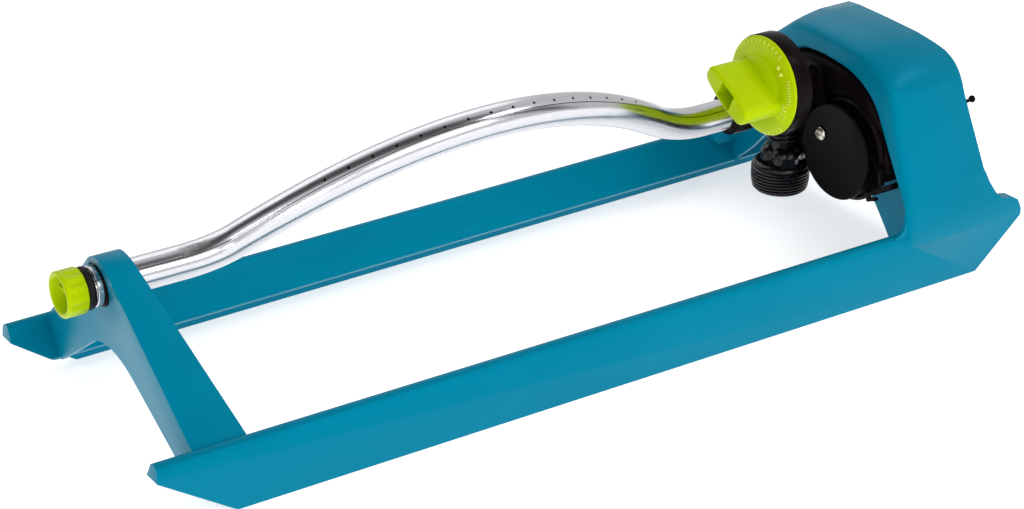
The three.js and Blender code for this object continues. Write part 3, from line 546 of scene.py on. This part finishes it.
dome_radius, dome_foot, dome_base, dome_rise, dome_inset = 4.7, 41, 43.8, 4, 0.54
dome_arc = [(dome_radius * math.cos(t * math.pi / 20), dome_base + dome_rise * math.sin(t * math.pi / 20))
            for t in range(1, 10)]
dome_side = [(0, dome_foot), (dome_radius, dome_foot), (dome_radius, dome_base), *dome_arc,
             (0, dome_base + dome_rise)]
domes = [turned("dome", dome_side, (inlet_x + dome_inset * x, dome_inset * y), "Z", 64)
         for x, y in collar_corners]
connector = joined(connector, "UNION", collar, *domes)
mouth_radius, throat_radius = 10.5, 6.3
mouth = turned("mouth", [
    (0, 20), (10.9, 20), (10.9, 26.6), (mouth_radius, 27.8), (mouth_radius, 38), (0, 38)],
    (inlet_x, 0), "Z", 96)
throat = turned("throat", [(0, 29), (throat_radius, 29), (throat_radius, 60), (0, 60)], (inlet_x, 0), "Z", 96)
connector = joined(connector, "DIFFERENCE", mouth, throat)
connector.data.set_sharp_from_angle(angle=math.radians(30))
fitted(edged(connector, 0.3 * MM, 50, 2), glossy_black, "black_plastic", "hose_connector")

seal_rubber = moulded_plastic("seal_rubber", srgb(17, 17, 18), srgb(44, 44, 46), roughness=0.62,
                              specular=0.2, shine=(1, 1, 1, 1), flow_amount=0.3, scuffing=0.5)
washer_bore, washer_low, washer_high = 6.6, 35.1, 37.7
fitted(edged(turned("hose_washer", [
    (washer_bore, washer_low), (mouth_radius, washer_low), (mouth_radius, washer_high),
    (washer_bore, washer_high), (washer_bore, washer_low)], (inlet_x, 0), "Z"), 0.5 * MM),
    seal_rubber, "seal_rubber", "hose_washer")

# fine woven wire, its strands set out along X and Y
filter_mesh = bpy.data.materials.new("filter_mesh")
filter_mesh.use_nodes = True
weave = filter_mesh.node_tree
wire = weave.nodes["Principled BSDF"]
wire.inputs["Metallic"].default_value = 1.0
wire.inputs["Roughness"].default_value = 0.35
places = weave.nodes.new("ShaderNodeSeparateXYZ")
weave.links.new(weave.nodes.new("ShaderNodeTexCoord").outputs["Object"], places.inputs[0])
weave_scale = 4500
strands = []
for direction in ("X", "Y"):
    wave = maths(weave, "SINE", maths(weave, "MULTIPLY", places.outputs[direction], weave_scale), 0)
    strands.append(maths(weave, "ABSOLUTE", wave, 0))
woven = maths(weave, "MAXIMUM", strands[0], strands[1])
bright = remap(weave, woven, 0.75, 0.95, 0.0, 1.0)
weave.links.new(mixed(weave, bright, srgb(30, 30, 31), srgb(196, 197, 200)), wire.inputs["Base Color"])
bumped(weave, wire, woven, 0.1 * MM, 0.6)
fitted(edged(turned("inlet_filter", [
    (0, 33.6), (2.6, 34), (5, 35), (6.2, 36.2), (6.2, 37.2), (0, 37.2)], (inlet_x, 0), "Z", 64), 0.2 * MM),
    filter_mesh, "filter_mesh", "inlet_filter")

# ---------------------------------------------------------------- spray tube
# One thin aluminium tube is bent into a long arch, with a row of fine jets drilled along its crown and its
# drawn seam beside them. Both straight ends turn in black bushes; the front one has a bright notched collar.
axis_z = 70.5
tube_radius, tube_wall = 7.2, 0.9
tube_front, tube_rear = -206.4, 132
tube_tilt = math.radians(33.7)
overrun = 2.0
front_straight, rear_straight = -166.5, 92.7
front_blend, rear_blend = 0.081, 0.16
knee_steps, arch_steps = 24, 110
jet_start, jet_pitch, jet_count, jet_radius = -108.1, 10.26, 16, 0.65


def bend(a, b, c, count):
    return [a.lerp(b, t).lerp(b.lerp(c, t), t) for t in (i / count for i in range(1, count + 1))]


arch_start, arch_crest, arch_end = Vector((-151.5, 0)), Vector((-40.7, 83.5)), Vector((77.7, 0))
front_knee, rear_knee = arch_start.lerp(arch_crest, front_blend), arch_end.lerp(arch_crest, rear_blend)
centreline = [Vector((tube_front - overrun, 0)), Vector((tube_front, 0)), Vector((front_straight, 0))]
centreline += bend(centreline[-1], arch_start, front_knee, knee_steps)
centreline += bend(front_knee, arch_crest, rear_knee, arch_steps)
centreline += bend(rear_knee, arch_end, Vector((rear_straight, 0)), knee_steps)
centreline += [Vector((tube_rear, 0)), Vector((tube_rear + overrun, 0))]
first_jet = 0
for here, there in zip(centreline, centreline[1:]):
    covered = min(1, max(0, (jet_start - here.x) / (there.x - here.x)))
    first_jet += covered * (there - here).length

bent_tube, given, result = geometry_tree("bent_tube", {
    "Radius": "Float", "Wall": "Float", "Overrun": "Float", "First Jet": "Float", "Jet Pitch": "Float",
    "Jets": "Int", "Jet Radius": "Float", "Finish": "Material"})
path = step(bent_tube, "GeometryNodeMeshToCurve", {"Mesh": given["Geometry"]}).outputs[0]
length = step(bent_tube, "GeometryNodeCurveLength", {"Curve": path}).outputs[0]
last = step(bent_tube, "ShaderNodeMath", {0: length, 1: given["Overrun"]}, operation="SUBTRACT").outputs[0]
body = step(bent_tube, "GeometryNodeTrimCurve", {0: path, 4: given["Overrun"], 5: last},
            mode="LENGTH").outputs[0]
inner = step(bent_tube, "ShaderNodeMath", {0: given["Radius"], 1: given["Wall"]},
             operation="SUBTRACT").outputs[0]
solids = []
for line, size, sides in ((body, given["Radius"], 96), (path, inner, 64)):
    ring = step(bent_tube, "GeometryNodeCurvePrimitiveCircle", {"Resolution": sides, "Radius": size})
    solids.append(step(bent_tube, "GeometryNodeCurveToMesh", {
        "Curve": line, "Profile Curve": ring.outputs[0], "Fill Caps": True}).outputs[0])
spaces = step(bent_tube, "ShaderNodeMath", {0: given["Jets"], 1: 1.0}, operation="SUBTRACT").outputs[0]
reach = step(bent_tube, "ShaderNodeMath", {0: spaces, 1: given["Jet Pitch"]}, operation="MULTIPLY").outputs[0]
final_jet = step(bent_tube, "ShaderNodeMath", {0: reach, 1: given["First Jet"]}, operation="ADD").outputs[0]
crown = step(bent_tube, "GeometryNodeTrimCurve", {0: path, 4: given["First Jet"], 5: final_jet},
             mode="LENGTH")
marks = step(bent_tube, "GeometryNodeCurveToPoints", {"Curve": crown.outputs[0], "Count": given["Jets"]},
             mode="COUNT")
upward = step(bent_tube, "ShaderNodeVectorMath", {0: marks.outputs["Tangent"], 1: (0, 1, 0)},
              operation="CROSS_PRODUCT").outputs[0]
raised = step(bent_tube, "ShaderNodeVectorMath", {0: upward, "Scale": given["Radius"]},
              operation="SCALE").outputs[0]
seats = step(bent_tube, "GeometryNodeSetPosition", {
    "Geometry": marks.outputs[0], "Offset": raised}).outputs[0]
turn = step(bent_tube, "FunctionNodeAlignRotationToVector", {"Vector": upward}, axis="Z").outputs[0]
drill = step(bent_tube, "GeometryNodeMeshCylinder", {
    "Vertices": 20, "Radius": given["Jet Radius"], "Depth": 5 * MM})
drills = step(bent_tube, "GeometryNodeInstanceOnPoints", {"Points": seats, "Instance": drill.outputs[0],
                                                          "Rotation": turn}).outputs[0]
drilled = step(bent_tube, "GeometryNodeRealizeInstances", {"Geometry": drills}).outputs[0]
pierced = step(bent_tube, "GeometryNodeMeshBoolean", {"Mesh 1": solids[0]},
               operation="DIFFERENCE", solver="MANIFOLD")
for tool in (solids[1], drilled):
    bent_tube.links.new(tool, pierced.inputs["Mesh 2"])
whole = step(bent_tube, "GeometryNodeRealizeInstances", {"Geometry": pierced.outputs[0]}).outputs[0]
bent_tube.links.new(step(bent_tube, "GeometryNodeSetMaterial", {
    "Geometry": whole, "Material": given["Finish"]}).outputs[0], result)

# fine streaks on drawn metal
drawn_streaks, streaks_in, streaks_out = shader_group(
    "drawn_streaks", {"Vector": (0.0, 0.0, 0.0), "Roughness": 0.15, "Spread": 0.1},
    {"Roughness": "NodeSocketFloat", "Height": "NodeSocketFloat"})
fine = drawn_streaks.nodes.new("ShaderNodeTexNoise")
fine.inputs["Scale"].default_value = 16
fine.inputs["Detail"].default_value = 5
drawn_streaks.links.new(streaks_in.outputs["Vector"], fine.inputs["Vector"])
spread = maths(drawn_streaks, "MULTIPLY", maths(drawn_streaks, "SUBTRACT", fine.outputs["Fac"], 0.5),
               streaks_in.outputs["Spread"])
drawn_streaks.links.new(maths(drawn_streaks, "ADD", streaks_in.outputs["Roughness"], spread),
                        streaks_out.inputs["Roughness"])
drawn_streaks.links.new(fine.outputs["Fac"], streaks_out.inputs["Height"])

# "around" holds the place along X, in units of 100 mm, and the place round the tube, in radii of the tube.
# The seam and a rubbed patch are set out on it.
tube_aluminium = bpy.data.materials.new("tube_aluminium")
tube_aluminium.use_nodes = True
metal = tube_aluminium.node_tree
tube_shader = metal.nodes["Principled BSDF"]
tube_shader.inputs["Metallic"].default_value = 1.0
around = metal.nodes.new("ShaderNodeAttribute")
around.attribute_name = "around"
streaks = grouped(metal, drawn_streaks, Roughness=0.21, Spread=0.22)
metal.links.new(around.outputs["Vector"], streaks.inputs["Vector"])
parts = metal.nodes.new("ShaderNodeSeparateXYZ")
metal.links.new(around.outputs["Vector"], parts.inputs[0])
along, side, up = (parts.outputs[a] for a in "XYZ")


def off_line(degrees):
    s, c = math.sin(math.radians(degrees)), math.cos(math.radians(degrees))
    across = maths(metal, "ABSOLUTE", maths(metal, "SUBTRACT", maths(metal, "MULTIPLY", side, s),
                                            maths(metal, "MULTIPLY", up, c)), 0)
    facing = maths(metal, "ADD", maths(metal, "MULTIPLY", side, c), maths(metal, "MULTIPLY", up, s))
    return across, facing


seam_angle, patch_angle, patch_place = 106.3, 80, -1.62
across, facing = off_line(seam_angle)
seam = maths(metal, "MULTIPLY", remap(metal, across, 0.014, 0.034, 1.0, 0.0),
             remap(metal, facing, 0.1, 0.2, 0.0, 1.0))
patch_across, patch_facing = off_line(patch_angle)
patch_along = maths(metal, "ABSOLUTE", maths(metal, "SUBTRACT", along, patch_place), 0)
patch = maths(metal, "MULTIPLY", remap(metal, patch_across, 0.1, 0.36, 1.0, 0.0),
              remap(metal, patch_along, 0.02, 0.11, 1.0, 0.0))
patch = maths(metal, "MULTIPLY", patch, remap(metal, patch_facing, 0.1, 0.2, 0.0, 1.0))
mottle = noise(metal, 700, 4)
rubbed = maths(metal, "MULTIPLY", patch, remap(metal, mottle, 0.35, 0.6, 0.35, 1.0))
ring_size = metal.nodes.new("ShaderNodeVectorMath")
ring_size.operation = "LENGTH"
flat_ring = metal.nodes.new("ShaderNodeCombineXYZ")
metal.links.new(side, flat_ring.inputs[1])
metal.links.new(up, flat_ring.inputs[2])
metal.links.new(flat_ring.outputs[0], ring_size.inputs[0])
# inside the bore the metal is painted near black, a painted shade for the hollow tube, and made rougher
dulled_and_shaded_bore = remap(metal, ring_size.outputs["Value"], 0.9, 0.985, 1.0, 0.0)
clean = mixed(metal, streaks.outputs["Height"], srgb(222, 222, 226), srgb(198, 199, 204))
with_patch = mixed(metal, rubbed, clean, srgb(150, 150, 153))
with_seam = mixed(metal, seam, with_patch, srgb(60, 60, 64))
# the bore gets its painted shade here
metal.links.new(mixed(metal, dulled_and_shaded_bore, with_seam, srgb(38, 38, 40)),
                tube_shader.inputs["Base Color"])
rough = maths(metal, "ADD", streaks.outputs["Roughness"], maths(metal, "MULTIPLY", rubbed, 0.3))
rough = maths(metal, "ADD", rough, maths(metal, "MULTIPLY", dulled_and_shaded_bore, 0.4), True)
metal.links.new(rough, tube_shader.inputs["Roughness"])
bumped(metal, tube_shader, streaks.outputs["Height"], 0.01 * MM, 0.25)

tube = grown("spray_tube", bent_tube, [(p.x, 0, p.y) for p in centreline], {
    "Radius": tube_radius * MM, "Wall": tube_wall * MM, "Overrun": overrun * MM, "First Jet": first_jet * MM,
    "Jet Pitch": jet_pitch * MM, "Jets": jet_count, "Jet Radius": jet_radius * MM, "Finish": tube_aluminium},
    [(i, i + 1) for i in range(len(centreline) - 1)])
collar = turned("collar", [
    (7.15, -206.2), (7.9, -206.2), (8.3, -205.8), (8.3, -203.9), (7.9, -203.4), (7.15, -203.4),
    (7.15, -206.2)], (0, 0), sides=144)
notch_inner, notch_outer, notch_half = 7.7, 8.9, 0.45
notch_front, notch_rear = -205.4, -204.4
notches = []
for degrees in (20, 80, 140, 200, 260, 320):
    c, s = math.cos(math.radians(degrees)), math.sin(math.radians(degrees))
    notch = [(r * c - notch_half * s * hand, r * s + notch_half * c * hand)
             for r, hand in ((notch_inner, -1), (notch_inner, 1), (notch_outer, 1), (notch_outer, -1))]
    notches.append(prism("notch", notch, notch_front, notch_rear))
collar = joined(collar, "DIFFERENCE", *notches)
shape = bmesh.new()
shape.from_mesh(tube.data)
shape.from_mesh(collar.data)
places = shape.verts.layers.float_vector.new("around")
inner_points = range(1, len(centreline) - 1)
for vertex in shape.verts:
    x, y, z = vertex.co / MM
    near = min(inner_points, key=lambda i: (centreline[i].x - x) ** 2 + (centreline[i].y - z) ** 2)
    before, after = centreline[near - 1], centreline[near + 1]
    lean = (after - before).normalized()
    offset = Vector((x, z)) - centreline[near]
    vertex[places] = (x / 100, y / tube_radius, (offset.y * lean.x - offset.x * lean.y) / tube_radius)
bmesh.ops.transform(shape, verts=shape.verts,
                    matrix=Matrix.Translation((0, 0, axis_z * MM)) @ Matrix.Rotation(tube_tilt, 4, "X"))
shape.to_mesh(tube.data)
shape.free()
bpy.data.objects.remove(collar)
tube.data.shade_smooth()
tube.data.set_sharp_from_angle(angle=math.radians(35))
fitted(tube, tube_aluminium, "tube_aluminium", "spray_tube")

for bush in ("front_bush", "outlet_bush"):
    fitted(softened(bush, 0.25 * MM), black_plastic, "black_plastic", bush)

# ---------------------------------------------------------------- end plug and its seal
# A lime polypropylene cup closes the front end. Its skirt has twelve shallow finger flutes behind a plain
# lip, and a bar for a coin runs across its bottom. A black rubber ring is squeezed between it and the tube.
lime_plastic = moulded_plastic("lime_plastic", srgb(178, 204, 0), srgb(210, 226, 90), roughness=0.34,
                               specular=0.3, shine=(0.95, 1, 0.06, 1), flow_amount=0.08, scuffing=0.1)
plug_front, plug_rear = -219.5, -210.4
plug_radius, plug_hollow = 9.5, 7.3
stem_radius, stem_end = 6, -196
flute_start, flute_run, flute_depth, flute_count = 1.9, 0.8, 0.62, 12


def fluted(radius, x, angle):
    if radius < plug_radius - 0.35:
        return radius
    deep = min(1.0, max(0.0, (x - plug_front - flute_start) / flute_run))
    return radius - flute_depth * deep * abs(math.sin(angle * flute_count / 2)) ** 3


plug = turned("end_plug", [
    (0, plug_front + 5.6), (6.7, plug_front + 5.6), (6.95, plug_front + 5.2), (plug_hollow, plug_front + 0.9),
    (plug_hollow + 0.35, plug_front + 0.35), (plug_hollow + 0.9, plug_front), (plug_radius - 0.9, plug_front),
    (plug_radius - 0.3, plug_front + 0.25), (plug_radius, plug_front + 0.8), (plug_radius, plug_front + 1.7),
    (plug_radius, plug_front + 2.1), (plug_radius, plug_front + 2.4), (plug_radius, plug_front + 2.8),
    (plug_radius, plug_rear - 0.4), (plug_radius - 0.3, plug_rear - 0.1), (plug_radius - 0.5, plug_rear),
    (stem_radius, plug_rear), (stem_radius, stem_end - 0.4), (stem_radius - 0.4, stem_end), (0, stem_end)],
    (0, axis_z), sides=240, radius_at=fluted)
bar_reach, bar_half = 6.8, 0.8
coin_bar = prism("coin_bar", [
    (-bar_reach, axis_z - bar_half), (bar_reach, axis_z - bar_half), (bar_reach, axis_z + bar_half),
    (-bar_reach, axis_z + bar_half)], plug_front + 3.4, plug_front + 6)
plug = joined(plug, "UNION", coin_bar)
plug.data.set_sharp_from_angle(angle=math.radians(50))
fitted(plug, lime_plastic, "lime_plastic", "end_plug")
seal_bore, seal_front, seal_rear = 6.3, -210.05, -206.75
seal = [(8.1 + 0.75 * math.cos(t * math.pi / 8), -208.4 + 1.65 * math.sin(t * math.pi / 8))
        for t in range(-4, 5)]
fitted(turned("plug_seal", [(seal_bore, seal_front), *seal, (seal_bore, seal_rear), (seal_bore, seal_front)],
              (0, axis_z)),
       seal_rubber, "seal_rubber", "plug_seal").data.set_sharp_from_angle(angle=math.radians(40))

# ---------------------------------------------------------------- rocker arm
# A black moulded rocker is fixed round the tube. Its upper end is a shallow cup that holds the dial, and a
# stud behind it takes the link from the crank.
fitted(softened("rocker_arm", 0.45 * MM), black_plastic, "black_plastic", "rocker_arm")

# ---------------------------------------------------------------- range dial
# The lime dial, one moulding, snaps into the cup. A sloping ring with raised ticks and small pictures runs
# round it. The thick grip in the middle is hollow at the front.
dial_y, dial_z = -24.1, 92
ring_low, ring_high = (21.9, 106.9), (15.2, 104.4)
plate = turned("range_dial", [
    (0, 102.7), (5, 102.75), (9, 103.1), (12.4, 103.9), (14, 104.6), (14.6, 104.7), ring_high, ring_low,
    (22.5, 107.5), (22.5, 108.1), (20.2, 108.1), (20.2, 111.1), (4, 111.1), (4, 116.7), (5.4, 116.7),
    (4.6, 118), (0, 118)], (dial_y, dial_z), sides=160)


def curved(*corners):
    points = []
    for i in range(0, len(corners) - 2, 2):
        points += bend(Vector(corners[i]), Vector(corners[i + 1]), Vector(corners[i + 2]), 12)
    return points


grip_turn = math.atan2(-14.5, -23.9)
grip_shift_y, grip_shift_z = -1.6, 0.7
grip_front, grip_back, pocket_floor = 84.8, 106, 92
grip_places = curved((-12.5, -4.2), (0, -6.6), (12.5, -4.8), (15.6, -4), (15.6, -0.6), (15.4, 4), (11.5, 4.8),
                     (0, 6.8), (-11.5, 4.8), (-15.4, 4), (-15.4, 0), (-15.4, -3.6), (-12.5, -4.2))
c, s = math.cos(grip_turn), math.sin(grip_turn)
grip_outline = [(dial_y + grip_shift_y + a * c - b * s, dial_z + grip_shift_z + a * s + b * c)
                for a, b in grip_places]
grip = edged(prism("grip", grip_outline, grip_front, grip_back), 1.5 * MM, 60, 6)
pocket_corners = [(-23.8, 98.6), (-31.9, 94), (-28, 86.4), (-20.1, 91.7)]
pocket = prism("pocket", pocket_corners, grip_front - 1, pocket_floor)
dial = joined(joined(plate, "UNION", grip), "DIFFERENCE", pocket)
dial.data.set_sharp_from_angle(angle=math.radians(30))
edged(dial, 0.35 * MM, 50)

# the raised marks are painted paler than the ring, a painted highlight where their tops catch the light
pale = lime_plastic.node_tree
marked = pale.nodes.new("ShaderNodeAttribute")
marked.attribute_name = "rubbed"
lime_shader = pale.nodes["Principled BSDF"]
ring_lime = lime_shader.inputs["Base Color"].links[0].from_socket
pale.links.new(mixed(pale, marked.outputs["Fac"], ring_lime, srgb(222, 234, 96)),
               lime_shader.inputs["Base Color"])

raised_marks, given, result = geometry_tree("raised_marks", {"Mark": "Object", "Finish": "Material"})
mark = step(raised_marks, "GeometryNodeObjectInfo", {"Object": given["Mark"]})
angle = step(raised_marks, "GeometryNodeInputNamedAttribute", {"Name": "angle"}, data_type="FLOAT").outputs[0]
long = step(raised_marks, "GeometryNodeInputNamedAttribute", {"Name": "long"}, data_type="FLOAT").outputs[0]
turn = step(raised_marks, "ShaderNodeCombineXYZ", {0: angle}).outputs[0]
size = step(raised_marks, "ShaderNodeCombineXYZ", {0: 1.0, 1: long, 2: 1.0}).outputs[0]
ring = step(raised_marks, "GeometryNodeInstanceOnPoints", {
    "Points": given["Geometry"], "Instance": mark.outputs["Geometry"], "Rotation": turn, "Scale": size})
whole = step(raised_marks, "GeometryNodeRealizeInstances", {"Geometry": ring.outputs[0]})
coated = step(raised_marks, "GeometryNodeSetMaterial", {
    "Geometry": whole.outputs[0], "Material": given["Finish"]})
raised_marks.links.new(coated.outputs[0], result)

slope = math.atan2(ring_low[1] - ring_high[1], ring_low[0] - ring_high[0])


def on_ring(radius, degrees):
    t = math.radians(degrees)
    x = ring_high[1] + (radius - ring_high[0]) * math.tan(slope)
    return x, dial_y + radius * math.cos(t), dial_z + radius * math.sin(t)


tick_half, mark_height = 0.2, 0.3
tick = prism("tick", [(-1, -tick_half), (1, -tick_half), (1, tick_half), (-1, tick_half)],
             -mark_height, mark_height)
tick.data.transform(Matrix.Rotation(slope, 4, "Z").inverted())
wide_radius, wide_step, fine_radius, fine_step = 20.6, 8, 19.6, 3.75
ticks = [(t, wide_radius, 1.15 if i % 4 == 0 else 0.9) for i, t in enumerate(range(-132, 128, wide_step))]
ticks += [(156 + fine_step * i, fine_radius, 1.1 if i % 4 == 2 else 0.8) for i in range(9)]
tick_ring = grown("ticks", raised_marks, [on_ring(r, t) for t, r, size in ticks], {
    "Mark": tick, "Finish": lime_plastic,
    "per_point": {"angle": [math.radians(t) for t, r, size in ticks],
                  "long": [size for t, r, size in ticks]}})
bpy.data.objects.remove(tick)

pictures = [
    (17.7, 133.6, [(-1.1, -0.5), (-0.6, -0.9), (0.1, -0.9), (1.2, 0), (0.1, 0.9), (-0.6, 0.9), (-1.1, 0.5)]),
    (17.3, 144.4, [(-1.1, -0.15), (1.1, -1.1), (0.8, 0), (1.1, 1.1), (-1.1, 0.15)]),
    (18.1, -165.8, [(-1.5, -1.2), (1.5, -1.2), (1.5, -0.9), (-1.2, -0.9), (-1.2, 0.9), (1.5, 0.9), (1.5, 1.2),
                    (-1.5, 1.2)]),
    (18.0, -151.6, [(-1.5, -1.2), (1.5, -1.2), (1.5, 1.2), (1.2, 1.2), (1.2, -0.9), (-1.2, -0.9), (-1.2, 1.2),
                    (-1.5, 1.2)])]
shape = bmesh.new()
shape.from_mesh(tick_ring.data)
for radius, degrees, outline in pictures:
    picture = prism("picture", outline, -0.28, mark_height)
    picture.data.transform(Matrix.Translation(Vector(on_ring(radius, degrees)) * MM) @
                           Matrix.Rotation(math.radians(degrees), 4, "X") @
                           Matrix.Rotation(-slope, 4, "Z"))
    shape.from_mesh(picture.data)
    bpy.data.objects.remove(picture)
# the ticks and pictures take the paler colour, their painted highlight
rubbed = shape.verts.layers.float.new("rubbed")
for vertex in shape.verts:
    vertex[rubbed] = 1.0
shape.from_mesh(bpy.data.meshes.new_from_object(dial.evaluated_get(bpy.context.evaluated_depsgraph_get())))
shape.to_mesh(dial.data)
shape.free()
bpy.data.objects.remove(tick_ring)
dial.modifiers.clear()
fitted(dial, lime_plastic, "lime_plastic", "range_dial")

# ---------------------------------------------------------------- link rod
# A short flat link, moulded in the same black plastic, joins the stud of the rocker to the crank. The tube
# swings because the crank pushes and pulls it.
fitted(softened("link_rod", 0.3 * MM), black_plastic, "black_plastic", "link_rod")

# ---------------------------------------------------------------- cap and peg on the back of the hood
# Behind the hood a round black moulded cap closes the motor chamber. A small ball-ended peg stands above it
# on the same leaning wall.
wall_low, wall_high = (193.6, 48.4), (197.5, 74.5)
back_lean = math.atan2(wall_high[0] - wall_low[0], wall_high[1] - wall_low[1])


def on_back_wall(name, profile, place, radius):
    piece = turned(name, profile, (0, 0))
    piece.data.transform(Matrix.Translation(Vector(place) * MM) @ Matrix.Rotation(-back_lean, 4, "Y"))
    fitted(edged(piece, radius), black_plastic, "black_plastic", name)


on_back_wall("rear_cap", [(0, 0), (12, 0), (12, 3), (10.4, 6), (7.5, 8), (3, 8), (2.4, 7.4), (0, 7.4)],
             (195.8, -47, 61), 0.5 * MM)
ball = [(1.7 * math.cos(t * math.pi / 12), 9.6 + 1.5 * math.sin(t * math.pi / 12)) for t in range(-4, 6)]
on_back_wall("rear_peg", [(0, 0), (2.4, 0), (2.4, 0.8), (0.9, 1.2), *ball, (0, 11.1)],
             (194.05, -56, 73.2), 0.1 * MM)
